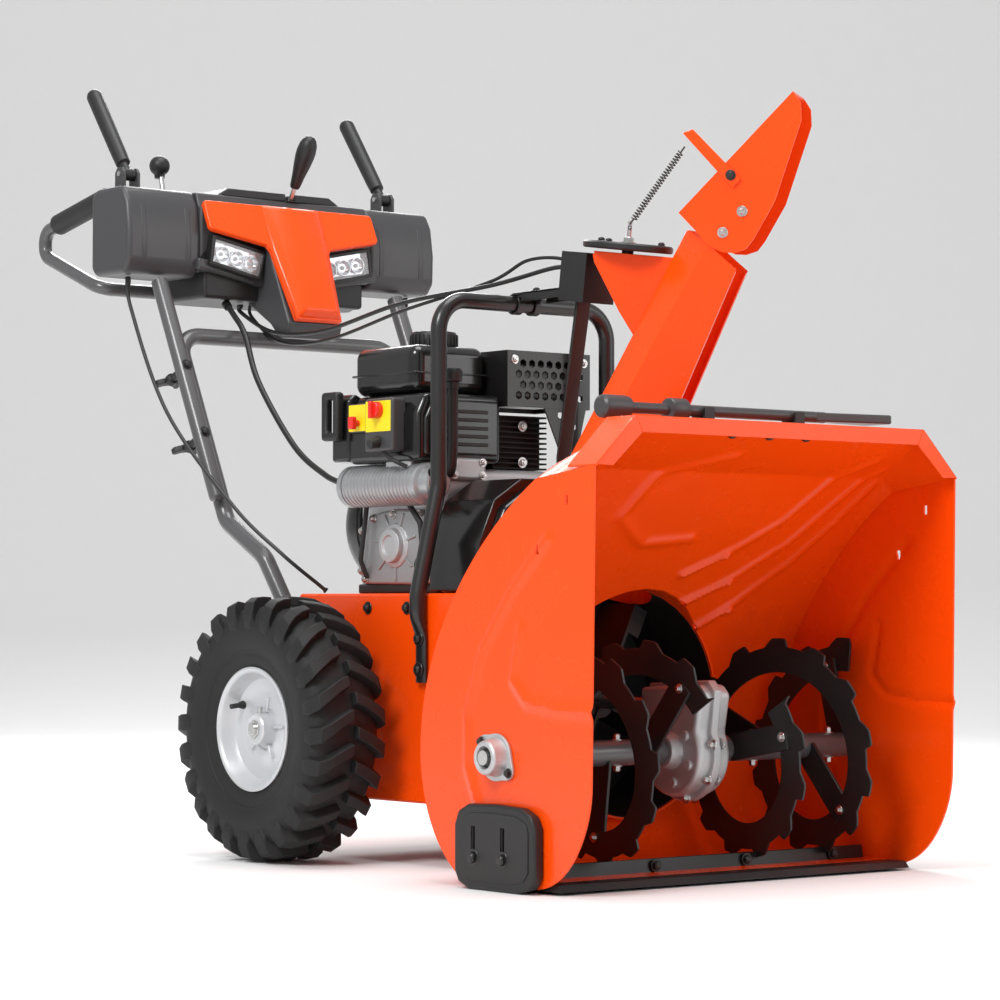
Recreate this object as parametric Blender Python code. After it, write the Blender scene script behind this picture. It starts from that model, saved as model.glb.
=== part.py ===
"""Two stage snowblower, modelled piece by piece. Metres, +Z up, the intake faces -Y, the operator stands at +Y.

The origin is on the ground under the middle of the machine's box. "right" is the operator's right (-X).
"""

import math

import bmesh
import bpy
from mathutils import Matrix, Vector

# ---- driving dimensions ------------------------------------------------------------------------------
GAP = 0.0003  # kept between pieces that touch

# auger housing
HALF_WIDTH = 0.3175  # a 24 inch class machine over its side plates
SHEET = 0.003
FRONT_Y = -0.719
SHOULDER_Z = 0.527  # where the chamfer leaves the side plate
TOP_Z = 0.588
CROWN_HALF = 0.2535  # half width of the flat top
LIP = 0.020
AUGER_Y, AUGER_Z = -0.530, 0.166
TOOL_LINE = (-0.640, 0.604)
AUGER_RADIUS = 0.146
SKID_BOLT_Y = (-0.5605, -0.5020)
RIBBON_WIDTH = 0.046
AUGER_TUBE_RADIUS = 0.014
AUGER_SHAFT_RADIUS = 0.0095

# second stage
IMPELLER_Z = 0.225
DRUM_RADIUS = 0.153
DRUM_BACK_Y = -0.2763
IMPELLER_SHAFT_RADIUS = 0.0095
WORM_WHEEL_RADIUS = 0.042
WORM_RADIUS = 0.0165

# tractor
FRAME_HALF = 0.172
FRAME_FRONT_Y, FRAME_REAR_Y = -0.276, 0.108
FRAME_LOW_Z, FRAME_TOP_Z = 0.085, 0.372
AXLE_Y = 0.008
TYRE_RADIUS = 0.184
TYRE_OUTER_X, TYRE_INNER_X = 0.335, 0.215
RIM_RADIUS = 0.084
AXLE_RADIUS = 0.0095

# engine
CRANK_Z = 0.472
CRANK_PULLEY_RADIUS, IMPELLER_PULLEY_RADIUS = 0.034, 0.085
PULLEY_Y = -0.205
TRACTION_Y = -0.175
DRIVE_PLATE_Z, DRIVE_PLATE_RADIUS = 0.225, 0.070
FRICTION_RADIUS = 0.048
PINION_RADIUS, AXLE_GEAR_RADIUS = 0.0335, 0.078

# handles
TUBE_RADIUS = 0.0127
HANDLE_X = 0.222
HANDLE_FOOT = (0.257 - 0.014, 0.511)
HANDLE_HEAD = (0.402, 0.838)
GRIP_X = 0.241
GRIP_RADIUS = 0.0165
GRIP_START = (0.4985, 0.9845)
GRIP_BEND = (0.7078, 0.9440)

# chute
CHUTE_FOOT = Vector((0.0, -0.367, 0.500))
CHUTE_TILT = math.radians(8.0)
CHUTE_TURN = math.radians(40.0)  # modelled turned towards the operator's left
CHUTE_HALF = 0.065
DEFLECTOR_PIVOT = (0.135, 0.372)
GEAR_HEIGHT = 0.338


# ---- helpers -----------------------------------------------------------------------------------------
PALETTE = {
    "orange": ((0.90, 0.075, 0.0), 0.30, 0.0),
    "dark_grey": ((0.060, 0.060, 0.064), 0.50, 0.0),
    "gunmetal": ((0.10, 0.10, 0.105), 0.35, 0.6),
    "black_metal": ((0.012, 0.012, 0.012), 0.38, 0.3),
    "black_plastic": ((0.016, 0.016, 0.017), 0.5, 0.0),
    "rubber": ((0.010, 0.010, 0.010), 0.8, 0.0),
    "silver": ((0.58, 0.59, 0.60), 0.35, 0.9),
    "casting": ((0.50, 0.51, 0.52), 0.55, 0.8),
    "steel": ((0.45, 0.45, 0.46), 0.4, 1.0),
    "red": ((0.75, 0.03, 0.02), 0.4, 0.0),
}


def place(obj, slot):
    """Links a new object, and gives it a material of its own from the palette."""
    bpy.context.scene.collection.objects.link(obj)
    colour, roughness, metallic = PALETTE[slot]
    material = bpy.data.materials.new(f"{slot}_{obj.name}")
    material.use_nodes = True
    shader = material.node_tree.nodes["Principled BSDF"]
    shader.inputs["Base Color"].default_value = (*colour, 1.0)
    shader.inputs["Roughness"].default_value = roughness
    shader.inputs["Metallic"].default_value = metallic
    obj.data.materials.append(material)
    return obj


def solid(name, bm, slot, smooth=None):
    bmesh.ops.recalc_face_normals(bm, faces=bm.faces)
    mesh = bpy.data.meshes.new(name)
    bm.to_mesh(mesh)
    bm.free()
    if smooth:
        mesh.shade_smooth()
        mesh.set_sharp_from_angle(angle=math.radians(smooth))
    return place(bpy.data.objects.new(name, mesh), slot)


def swizzle(axis, a, b, along):
    """A point from two coordinates across an axis and one along it."""
    return {"X": (along, a, b), "Y": (a, along, b), "Z": (a, b, along)}[axis]


def prism(name, outline, axis, low, high, slot):
    """An outline in the plane across an axis, extruded from low to high along it."""
    bm = bmesh.new()
    ring = [bm.verts.new(swizzle(axis, a, b, low)) for a, b in outline]
    face = bm.faces.new(ring)
    moved = bmesh.ops.extrude_face_region(bm, geom=[face])
    shift = Vector(swizzle(axis, 0.0, 0.0, high - low))
    bmesh.ops.translate(bm, vec=shift, verts=[v for v in moved["geom"] if isinstance(v, bmesh.types.BMVert)])
    return solid(name, bm, slot)


def block(name, low, high, slot, bevel=0.0, segments=1):
    (x0, y0, z0), (x1, y1, z1) = low, high
    obj = prism(name, [(x0, y0), (x1, y0), (x1, y1), (x0, y1)], "Z", z0, z1, slot)
    if bevel:
        soften(obj, bevel, segments)
    return obj


def soften(obj, width, segments=1):
    bevel = obj.modifiers.new("edges", "BEVEL")
    bevel.width = width
    bevel.segments = segments
    bevel.limit_method = "ANGLE"
    bevel.angle_limit = math.radians(40)
    return obj


def rod(name, start, end, radius, slot, sides=16, end_radius=None):
    start, end = Vector(start), Vector(end)
    bm = bmesh.new()
    turn = (end - start).to_track_quat("Z", "Y").to_matrix().to_4x4()
    bmesh.ops.create_cone(
        bm, cap_ends=True, segments=sides, radius1=radius, depth=(end - start).length,
        radius2=radius if end_radius is None else end_radius,
        matrix=Matrix.Translation((start + end) / 2) @ turn,
    )
    return solid(name, bm, slot, smooth=40)


def lathe(name, profile, centre, axis, sides, slot, smooth=35):
    """Turns a closed (radius, along) profile about an axis through centre; radius 0 closes on the axis."""
    bm = bmesh.new()
    rings = []
    for radius, along in profile:
        if radius < 1e-6:
            rings.append([bm.verts.new(swizzle(axis, 0.0, 0.0, along))])
            continue
        angles = [2 * math.pi * k / sides for k in range(sides)]
        rings.append([
            bm.verts.new(swizzle(axis, radius * math.cos(t), radius * math.sin(t), along)) for t in angles
        ])
    for one, two in zip(rings, rings[1:] + rings[:1]):
        if len(one) == 1 and len(two) == 1:
            continue
        for k in range(sides):
            nxt = (k + 1) % sides
            corners = [one[k % len(one)], one[nxt % len(one)], two[nxt % len(two)], two[k % len(two)]]
            bm.faces.new(list(dict.fromkeys(corners)))
    bmesh.ops.translate(bm, vec=Vector(centre), verts=bm.verts)
    return solid(name, bm, slot, smooth)


def disc(name, centre, axis, radius, thickness, slot, bore=0.0, sides=24):
    """A plain disc or ring, centred on its thickness."""
    half = thickness / 2
    profile = [(bore, -half), (radius, -half), (radius, half), (bore, half)]
    return lathe(name, profile, centre, axis, sides, slot)


def corner_arc(before, corner, after, radius, steps):
    """The points of a bend of this radius at a corner of a path."""
    to_before, to_after = (before - corner).normalized(), (after - corner).normalized()
    half = to_before.angle(to_after) / 2
    reach = min(radius / math.tan(half), (before - corner).length * 0.49, (after - corner).length * 0.49)
    radius = reach * math.tan(half)
    middle = corner + (to_before + to_after).normalized() * (radius / math.sin(half))
    first = corner + to_before * reach - middle
    last = corner + to_after * reach - middle
    return [middle + first.slerp(last, k / steps).normalized() * radius for k in range(steps + 1)]


def bent(corners, radius, steps=4):
    """A path through corners, with a round bend at each."""
    corners = [Vector(c) for c in corners]
    path = [corners[0]]
    for before, corner, after in zip(corners, corners[1:], corners[2:]):
        path += corner_arc(before, corner, after, radius, steps)
    return path + [corners[-1]]


def smooth_route(points, per_span=3):
    """A Catmull-Rom curve through a route's own points."""
    points = [Vector(p) for p in points]
    ends = [points[0] * 2 - points[1]] + points + [points[-1] * 2 - points[-2]]
    route = []
    for a, b, c, d in zip(ends, ends[1:], ends[2:], ends[3:]):
        for k in range(per_span):
            t = k / per_span
            route.append(0.5 * (2 * b + (c - a) * t + (2 * a - 5 * b + 4 * c - d) * t**2
                                + (3 * b - a - 3 * c + d) * t**3))
    return route + [points[-1]]


def tube(name, path, radius, slot, resolution=3):
    curve = bpy.data.curves.new(name, "CURVE")
    curve.dimensions = "3D"
    curve.bevel_depth = radius
    curve.bevel_resolution = resolution
    curve.render_resolution_u = 0
    curve.use_fill_caps = True
    curve.twist_mode = "MINIMUM"
    spline = curve.splines.new("POLY")
    spline.points.add(len(path) - 1)
    for point, where in zip(spline.points, path):
        point.co = (*where, 1.0)
    return place(bpy.data.objects.new(name, curve), slot)


def tool(obj):
    """Marks an object that only cuts or joins, so it isn't a piece."""
    obj.hide_render = True
    obj.display_type = "WIRE"
    return obj


def boolean(target, other, operation):
    step = target.modifiers.new(operation.lower(), "BOOLEAN")
    step.operation = operation
    step.solver = "EXACT"
    step.object = tool(other)
    return target


def join(target, *others):
    for other in others:
        boolean(target, other, "UNION")
    return target


def cut(target, *others):
    for other in others:
        boolean(target, other, "DIFFERENCE")
    return target


def bezier(p0, p1, p2, p3, steps):
    """Points of a cubic curve, without its last."""
    points = []
    for k in range(steps):
        t = k / steps
        s = 1 - t
        weights = (s**3, 3 * s * s * t, 3 * s * t * t, t**3)
        points.append(tuple(sum(w * p[i] for w, p in zip(weights, (p0, p1, p2, p3))) for i in (0, 1)))
    return points


def move_origin(obj, point):
    """Puts a mesh object's origin on a point, such as its joint's axis."""
    obj.data.transform(Matrix.Translation(-Vector(point)))
    obj.location = point
    return obj


SIDES = (("right", -1), ("left", 1))


# ---- auger housing -----------------------------------------------------------------------------------
def housing_curve(inset=0.0):
    """The side profile (y, z) from the shoulder's rear end, round the back, to the bottom's front end."""
    back = bezier((-0.603, 0.512), (-0.504, 0.455), (-0.371, 0.330), (-0.371, 0.170), 8)
    under = bezier((-0.371, 0.170), (-0.371, 0.090), (-0.414, 0.030), (-0.464, 0.0065), 4)
    points = back + under + [(-0.464, 0.0065)]
    moved = []
    for index, (y, z) in enumerate(points):
        away = Vector((AUGER_Y - y, AUGER_Z - z)).normalized() * inset * min(1.0, index / 3)
        moved.append((y + away.x, z + away.y))
    return moved


def plate_outline():
    lower_front = bezier((-0.609, 0.0065), (-0.669, 0.012), (-0.706, 0.080), (-0.709, 0.130), 5)
    top_front = [(-0.709, 0.130), (-0.7155, SHOULDER_Z)]
    return housing_curve() + lower_front + top_front


def side_plates():
    for side, sign in SIDES:
        inner, outer = sign * (HALF_WIDTH - SHEET), sign * HALF_WIDTH
        plate = prism(f"side_plate_{side}", plate_outline(), "X", inner, outer, "orange")
        join(plate, auger_bearing(side, sign))
        for index, y in enumerate(SKID_BOLT_Y):
            shank = rod(f"join_skid_bolt_{side}_{index}", (inner + sign * 0.001, y, 0.0405),
                        (sign * (HALF_WIDTH + 0.0178), y, 0.0405), 0.0034, "orange", 8)
            washer = rod(f"join_washer_{side}_{index}", (sign * (HALF_WIDTH + 0.0175), y, 0.0405),
                         (sign * (HALF_WIDTH + 0.0225), y, 0.0405), 0.0105, "orange", 10)
            join(plate, shank, washer)
        bore = rod(f"cut_bearing_{side}", (inner - sign * 0.01, AUGER_Y, AUGER_Z),
                   (outer + sign * 0.04, AUGER_Y, AUGER_Z), AUGER_SHAFT_RADIUS + GAP, "steel", 16)
        cut(plate, bore)


def wrap_stations():
    """Rows across the wrap, from the lip's edge over the top and down the back to the scraper."""
    side_x = HALF_WIDTH - SHEET - GAP
    lip_in = 0.026
    rows = [[(-side_x + lip_in, FRONT_Y, SHOULDER_Z), (-CROWN_HALF + 0.0125, FRONT_Y, TOP_Z - LIP)]]
    curve = housing_curve(0.006)
    roof = [(FRONT_Y, SHOULDER_Z), (-0.680, 0.524), (-0.640, 0.519)]
    for y, z in roof + curve + [(-0.540, 0.0115), (-0.600, 0.0115)]:
        rise = max(0.0, 1 - (y - FRONT_Y) / 0.205) ** 1.5 if z > AUGER_Z else 0.0
        narrow = 1 - rise
        half = CROWN_HALF + (0.300 - CROWN_HALF) * narrow
        rows.append([(-side_x, y, z), (-half, y, z + (TOP_Z - SHOULDER_Z) * rise)])
    return [row + [(-x, y, z) for x, y, z in reversed(row)] for row in rows]


def auger_housing():
    bm = bmesh.new()
    rows = [[bm.verts.new(p) for p in row] for row in wrap_stations()]
    for one, two in zip(rows, rows[1:]):
        for k in range(3):
            bm.faces.new((one[k], two[k], two[k + 1], one[k + 1]))
    wrap = solid("housing_wrap", bm, "orange")
    thick = wrap.modifiers.new("sheet", "SOLIDIFY")
    thick.thickness = 0.0025
    thick.offset = WRAP_SOLIDIFY_SIDE
    thick.use_even_offset = True
    opening = rod("cut_impeller_opening", (0, -0.52, IMPELLER_Z), (0, -0.30, IMPELLER_Z),
                  DRUM_RADIUS, "steel", 32)
    cut(wrap, opening)
    bar = [(-0.640, 0.0035), (-0.560, 0.0035), (-0.560, 0.0128), (-0.632, 0.0128)]
    join(wrap, *tool_clips())
    join(wrap, prism("join_scraper", bar, "X", -HALF_WIDTH + SHEET + GAP, HALF_WIDTH - SHEET - GAP, "orange"))


WRAP_SOLIDIFY_SIDE = -1.0


def keep_out(name):
    """The space inside the wrap and its skin, which the drum and the neck stop at."""
    profile = []
    for row in wrap_stations()[1:]:
        profile.append((row[1][1] + GAP * 2, row[1][2] + GAP * 2))
    profile += [(-0.60, -0.05), (FRONT_Y - 0.05, -0.05), (FRONT_Y - 0.05, TOP_Z)]
    return prism(name, profile, "X", -0.4, 0.4, "steel")


def impeller_drum():
    skin = 0.003
    profile = [
        (DRUM_RADIUS + skin, -0.46), (DRUM_RADIUS + skin, DRUM_BACK_Y), (0.0125, DRUM_BACK_Y),
        (0.0125, DRUM_BACK_Y - skin), (DRUM_RADIUS, DRUM_BACK_Y - skin), (DRUM_RADIUS, -0.46),
    ]
    drum = lathe("impeller_drum", profile, (0, 0, IMPELLER_Z), "Y", 32, "orange")
    axis = Vector((0, -math.sin(CHUTE_TILT), math.cos(CHUTE_TILT)))
    neck = rod("join_neck", CHUTE_FOOT - axis * 0.19, CHUTE_FOOT - axis * 0.002, 0.079, "orange", 28)
    drum_bore = rod("cut_drum_bore", (0, -0.60, IMPELLER_Z), (0, DRUM_BACK_Y - skin, IMPELLER_Z),
                    DRUM_RADIUS, "steel", 32)
    neck_bore = rod("cut_neck_bore", CHUTE_FOOT - axis * 0.20, CHUTE_FOOT + axis * 0.05, 0.0755, "steel", 28)
    join(drum, neck)
    behind = block("cut_neck_back", (-0.2, DRUM_BACK_Y - 0.0001, 0.25), (0.2, -0.1, 0.6), "steel")
    cut(drum, drum_bore, neck_bore, keep_out("cut_drum_front"), behind)
    join(drum, block("join_neck_back", (-0.050, DRUM_BACK_Y - 0.0024, 0.362),
                     (0.050, DRUM_BACK_Y - 0.0008, 0.430), "orange"))


def auger_bearing(side, sign):
    """The flanged bearing bolted on a side plate, from inside the plate's skin outwards."""
    profile = [
        (0.0, -0.002), (0.030, -0.002), (0.030, 0.003), (0.021, 0.004), (0.021, 0.020), (0.0185, 0.0215),
        (0.0, 0.0215),
    ]
    turned = [(r, sign * h) for r, h in profile]
    return lathe(f"join_bearing_{side}", turned, (sign * HALF_WIDTH, AUGER_Y, AUGER_Z), "X", 20, "orange")


def skid_shoes():
    outline = [
        (-0.462, 0.082), (-0.484, 0.108), (-0.598, 0.108), (-0.622, 0.090), (-0.622, 0.014),
        (-0.590, 0.0), (-0.488, 0.0), (-0.462, 0.018),
    ]
    for side, sign in SIDES:
        inner, outer = sign * (HALF_WIDTH + 0.0008), sign * (HALF_WIDTH + 0.0170)
        shoe = soften(prism(f"skid_shoe_{side}", outline, "X", inner, outer, "black_plastic"), 0.004, 1)
        for index, y in enumerate(SKID_BOLT_Y):
            slot_hole = block(f"cut_skid_{side}_{index}", (min(inner, outer) - 0.01, y - 0.004, 0.036),
                              (max(inner, outer) + 0.01, y + 0.004, 0.080), "steel")
            cut(shoe, slot_hole)


# ---- augers and their gearbox ------------------------------------------------------------------------
def ribbon(name, sign, start_x, end_x, turns, slot):
    """One flight: a flat strip of sheet wound about the shaft."""
    bm = bmesh.new()
    steps = 40
    half_sheet = 0.0018
    rings = []
    for k in range(steps + 1):
        t = k / steps
        x = start_x + (end_x - start_x) * t
        angle = sign * 2 * math.pi * turns * t + math.radians(150)
        ring = []
        for radius, shift in (
            (AUGER_RADIUS, -half_sheet), (AUGER_RADIUS, half_sheet),
            (AUGER_RADIUS - RIBBON_WIDTH, half_sheet), (AUGER_RADIUS - RIBBON_WIDTH, -half_sheet),
        ):
            ring.append(bm.verts.new((
                sign * (x + shift), AUGER_Y + radius * math.cos(angle), AUGER_Z + radius * math.sin(angle),
            )))
        rings.append(ring)
    for one, two in zip(rings, rings[1:]):
        for k in range(4):
            bm.faces.new((one[k], one[(k + 1) % 4], two[(k + 1) % 4], two[k]))
    bm.faces.new(rings[0])
    bm.faces.new(list(reversed(rings[-1])))
    return solid(name, bm, slot)


def auger_arm(name, sign, x, angle):
    """A flat bar from the tube to the ribbon."""
    length = AUGER_RADIUS - RIBBON_WIDTH * 0.75
    arm = block(name, (-0.0035, -0.016, 0.006), (0.0035, 0.016, length), "black_metal")
    turn = Matrix.Rotation(angle - math.pi / 2, 4, "X")
    arm.data.transform(Matrix.Translation((sign * x, AUGER_Y, AUGER_Z)) @ turn)
    return arm


def augers():
    start_x, end_x, turns = 0.066, 0.292, 1.85
    for side, sign in SIDES:
        low, high = sorted((sign * 0.0455, sign * 0.300))
        auger = rod(f"auger_{side}", (low, AUGER_Y, AUGER_Z), (high, AUGER_Y, AUGER_Z),
                    AUGER_TUBE_RADIUS, "black_metal", 16)
        join(auger, ribbon(f"join_ribbon_{side}", sign, start_x, end_x, turns, "black_metal"))
        for index in range(4):
            t = (0.03, 0.35, 0.66, 0.97)[index]
            angle = sign * 2 * math.pi * turns * t + math.radians(150)
            join(auger, auger_arm(f"join_arm_{side}_{index}", sign, start_x + (end_x - start_x) * t, angle))
        bore = rod(f"cut_auger_{side}", (low - 0.01, AUGER_Y, AUGER_Z), (high + 0.01, AUGER_Y, AUGER_Z),
                   AUGER_SHAFT_RADIUS + GAP, "steel", 12)
        cut(auger, bore)
        move_origin(auger, (0, AUGER_Y, AUGER_Z))
    shaft = rod("auger_shaft", (-0.342, AUGER_Y, AUGER_Z), (0.342, AUGER_Y, AUGER_Z),
                AUGER_SHAFT_RADIUS, "steel", 12)
    move_origin(shaft, (0, AUGER_Y, AUGER_Z))
    join(shaft, rod("join_worm_wheel", (-0.009, AUGER_Y, AUGER_Z), (0.009, AUGER_Y, AUGER_Z),
                    WORM_WHEEL_RADIUS, "steel", 24))


def auger_gearbox():
    """The cast case around the worm and its wheel."""
    outline = []
    for k in range(13):
        angle = math.radians(150 + 240 * k / 12)
        outline.append((AUGER_Y + 0.056 * math.cos(angle), AUGER_Z - 0.004 + 0.056 * math.sin(angle)))
    outline += [(AUGER_Y + 0.060, 0.222), (AUGER_Y + 0.060, 0.248), (AUGER_Y - 0.046, 0.253),
                (AUGER_Y - 0.058, 0.240)]
    case = soften(prism("auger_gearbox", outline, "X", -0.030, 0.030, "casting"), 0.004, 1)
    for side, sign in SIDES:
        join(case, rod(f"join_boss_{side}", (sign * 0.020, AUGER_Y, AUGER_Z), (sign * 0.044, AUGER_Y, AUGER_Z),
                       0.022, "casting", 16, 0.018))
    wheel_room = rod("cut_wheel_room", (-0.0115, AUGER_Y, AUGER_Z), (0.0115, AUGER_Y, AUGER_Z),
                     WORM_WHEEL_RADIUS + 0.0045, "steel", 24)
    shaft_room = rod("cut_shaft_room", (-0.06, AUGER_Y, AUGER_Z), (0.06, AUGER_Y, AUGER_Z),
                     AUGER_SHAFT_RADIUS + 3 * GAP, "steel", 20)
    worm_room = rod("cut_worm_room", (0, AUGER_Y - 0.040, IMPELLER_Z), (0, AUGER_Y + 0.045, IMPELLER_Z),
                    WORM_RADIUS + 0.002, "steel", 16)
    input_room = rod("cut_input_room", (0, AUGER_Y, IMPELLER_Z), (0, AUGER_Y + 0.09, IMPELLER_Z),
                     IMPELLER_SHAFT_RADIUS + 3 * GAP, "steel", 20)
    cut(case, wheel_room, shaft_room, worm_room, input_room)


def impeller():
    shaft = rod("impeller_shaft", (0, AUGER_Y - 0.035, IMPELLER_Z), (0, PULLEY_Y + 0.016, IMPELLER_Z),
                IMPELLER_SHAFT_RADIUS, "steel", 12)
    worm = rod("join_worm", (0, AUGER_Y - 0.030, IMPELLER_Z), (0, AUGER_Y + 0.030, IMPELLER_Z),
               WORM_RADIUS, "steel", 16)
    join(shaft, worm, vee_pulley("join_impeller_pulley", (0, PULLEY_Y, IMPELLER_Z), IMPELLER_PULLEY_RADIUS))
    move_origin(shaft, (0, 0, IMPELLER_Z))
    hub_y, blade_low, blade_high = -0.325, -0.362, -0.292
    fan = rod("impeller", (0, hub_y - 0.034, IMPELLER_Z), (0, hub_y + 0.034, IMPELLER_Z), 0.022,
              "black_metal", 16)
    for index in range(4):
        blade = block(f"join_blade_{index}", (-0.0025, blade_low, 0.010), (0.0025, blade_high, 0.146),
                      "black_metal")
        tip = block(f"join_blade_tip_{index}", (-0.0025, blade_low, 0.105), (0.022, blade_low + 0.005, 0.145),
                    "black_metal")
        for piece in (blade, tip):
            turn = Matrix.Rotation(math.radians(90 * index + 25), 4, "Y")
            piece.data.transform(Matrix.Translation((0, 0, IMPELLER_Z)) @ turn)
            join(fan, piece)
    cut(fan, rod("cut_fan", (0, -0.40, IMPELLER_Z), (0, -0.25, IMPELLER_Z), IMPELLER_SHAFT_RADIUS + GAP,
                 "steel", 12))
    move_origin(fan, (0, 0, IMPELLER_Z))


# ---- belts, pulleys and the friction drive -----------------------------------------------------------
def vee_pulley(name, centre, radius):
    half = 0.008
    profile = [
        (0.0, -half), (radius, -half), (radius, -half + 0.0015), (radius - 0.008, -0.003),
        (radius - 0.008, 0.003), (radius, half - 0.0015), (radius, half), (0.0, half),
    ]
    return lathe(name, profile, centre, "Y", 24, "steel")


def belt(name, y, low_z, low_radius, high_z, high_radius):
    """A closed belt round two pulleys, as a flat ring of its own section."""
    def loop(extra):
        tilt = math.asin((low_radius - high_radius) / (high_z - low_z))
        points = []
        for k in range(17):
            angle = math.pi - tilt + (math.pi + 2 * tilt) * k / 16
            points.append(((low_radius + extra) * math.cos(angle), low_z + (low_radius + extra) * math.sin(angle)))
        for k in range(9):
            angle = tilt + (math.pi - 2 * tilt) * k / 8
            points.append(((high_radius + extra) * math.cos(angle), high_z + (high_radius + extra) * math.sin(angle)))
        return points
    ring = prism(name, loop(0.0045), "Y", y - 0.0022, y + 0.0022, "rubber")
    return cut(ring, prism(f"cut_{name}", loop(0.0), "Y", y - 0.01, y + 0.01, "steel"))


def drive_line():
    groove = 0.0062
    crank = rod("crankshaft", (0, -0.218, CRANK_Z), (0, -0.120, CRANK_Z), 0.0095, "steel", 12)
    for name, y in (("join_auger_pulley", PULLEY_Y), ("join_traction_pulley", TRACTION_Y)):
        join(crank, vee_pulley(name, (0, y, CRANK_Z), CRANK_PULLEY_RADIUS))
    move_origin(crank, (0, 0, CRANK_Z))
    belt("auger_belt", PULLEY_Y, IMPELLER_Z, IMPELLER_PULLEY_RADIUS - groove, CRANK_Z,
         CRANK_PULLEY_RADIUS - groove)
    centre = Vector((0, TRACTION_Y, DRIVE_PLATE_Z))
    plate = vee_pulley("drive_plate", centre, DRIVE_PLATE_RADIUS)
    join(plate, rod("join_drive_face", centre + Vector((0, 0.004, 0)), centre + Vector((0, 0.030, 0)),
                    DRIVE_PLATE_RADIUS - 0.004, "steel", 24))
    move_origin(plate, centre)
    wheel_centre = Vector((0, TRACTION_Y + 0.0306 + FRICTION_RADIUS, DRIVE_PLATE_Z))
    reach = Vector((FRAME_HALF - 0.006, 0, 0))
    shaft = rod("friction_shaft", wheel_centre - reach, wheel_centre + reach, 0.008, "steel", 6)
    wheel = rod("join_friction_wheel", wheel_centre + Vector((0.029, 0, 0)), wheel_centre + Vector((0.041, 0, 0)),
                FRICTION_RADIUS, "steel", 24)
    pinion = rod("join_pinion", wheel_centre - Vector((0.097, 0, 0)), wheel_centre - Vector((0.083, 0, 0)),
                 PINION_RADIUS, "steel", 20)
    join(shaft, wheel, pinion)
    move_origin(shaft, wheel_centre)


# ---- tractor frame and wheels ------------------------------------------------------------------------
def tractor_frame():
    low, high = (-FRAME_HALF, FRAME_FRONT_Y, FRAME_LOW_Z), (FRAME_HALF, FRAME_REAR_Y, FRAME_TOP_Z)
    frame = soften(block("tractor_frame", low, high, "orange"), 0.003, 1)
    wall = SHEET
    room = block("cut_frame_room", (low[0] + wall, low[1] + wall, low[2] - 0.01),
                 (high[0] - wall, high[1] - wall, high[2] - wall), "steel")
    belt_slot = block("cut_belt_slot", (-0.098, -0.222, FRAME_TOP_Z - 0.02), (0.098, -0.160, FRAME_TOP_Z + 0.02),
                      "steel")
    shaft_hole = rod("cut_frame_shaft", (0, FRAME_FRONT_Y - 0.01, IMPELLER_Z), (0, FRAME_FRONT_Y + 0.01,
                     IMPELLER_Z), 0.0125, "steel", 20)
    axle_hole = rod("cut_frame_axle", (-0.3, AXLE_Y, TYRE_RADIUS), (0.3, AXLE_Y, TYRE_RADIUS), 0.0135,
                    "steel", 16)
    cut(frame, room, belt_slot, shaft_hole, axle_hole)


def wheels():
    inner, outer = TYRE_INNER_X, TYRE_OUTER_X
    middle = (inner + outer) / 2
    tyre_profile = [
        (RIM_RADIUS + GAP, middle - 0.040), (0.098, inner + 0.006), (0.135, inner), (0.166, inner + 0.006),
        (0.180, inner + 0.018), (TYRE_RADIUS, middle - 0.020), (TYRE_RADIUS, middle + 0.020),
        (0.180, outer - 0.018), (0.166, outer - 0.006), (0.135, outer), (0.098, outer - 0.006),
        (RIM_RADIUS + GAP, middle + 0.040),
    ]
    rim_profile = [
        (AXLE_RADIUS + GAP, middle - 0.044), (0.024, middle - 0.044), (0.024, middle + 0.012),
        (0.062, middle + 0.014), (0.072, middle - 0.046), (RIM_RADIUS, middle - 0.046),
        (RIM_RADIUS, middle + 0.046), (0.076, middle + 0.048), (0.070, middle + 0.030),
        (0.060, middle + 0.018), (0.024, middle + 0.016), (0.022, middle + 0.042),
        (AXLE_RADIUS + GAP, middle + 0.042),
    ]
    for side, sign in SIDES:
        centre = (0, AXLE_Y, TYRE_RADIUS)
        move_origin(lathe(f"tyre_{side}", [(r, sign * x) for r, x in tyre_profile], centre, "X", 32, "rubber"),
                    centre)
        move_origin(lathe(f"rim_{side}", [(r, sign * x) for r, x in rim_profile], centre, "X", 32, "silver"),
                    centre)
    axle = rod("axle", (-middle - 0.043, AXLE_Y, TYRE_RADIUS), (middle + 0.043, AXLE_Y, TYRE_RADIUS),
               AXLE_RADIUS, "steel", 16)
    join(axle, rod("join_axle_gear", (-0.095, AXLE_Y, TYRE_RADIUS), (-0.085, AXLE_Y, TYRE_RADIUS),
                   AXLE_GEAR_RADIUS, "steel", 28))
    move_origin(axle, (0, AXLE_Y, TYRE_RADIUS))


# ---- engine ------------------------------------------------------------------------------------------
def finned(name, centre, levels, slot):
    """A column of square sections: (half x, half y, z) from the bottom up."""
    bm = bmesh.new()
    rings = []
    for half_x, half_y, z in levels:
        corners = ((-1, -1), (1, -1), (1, 1), (-1, 1))
        rings.append([bm.verts.new((centre[0] + half_x * i, centre[1] + half_y * j, z)) for i, j in corners])
    for one, two in zip(rings, rings[1:]):
        for k in range(4):
            bm.faces.new((one[k], one[(k + 1) % 4], two[(k + 1) % 4], two[k]))
    bm.faces.new(rings[0])
    bm.faces.new(rings[-1])
    return solid(name, bm, slot)


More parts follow.
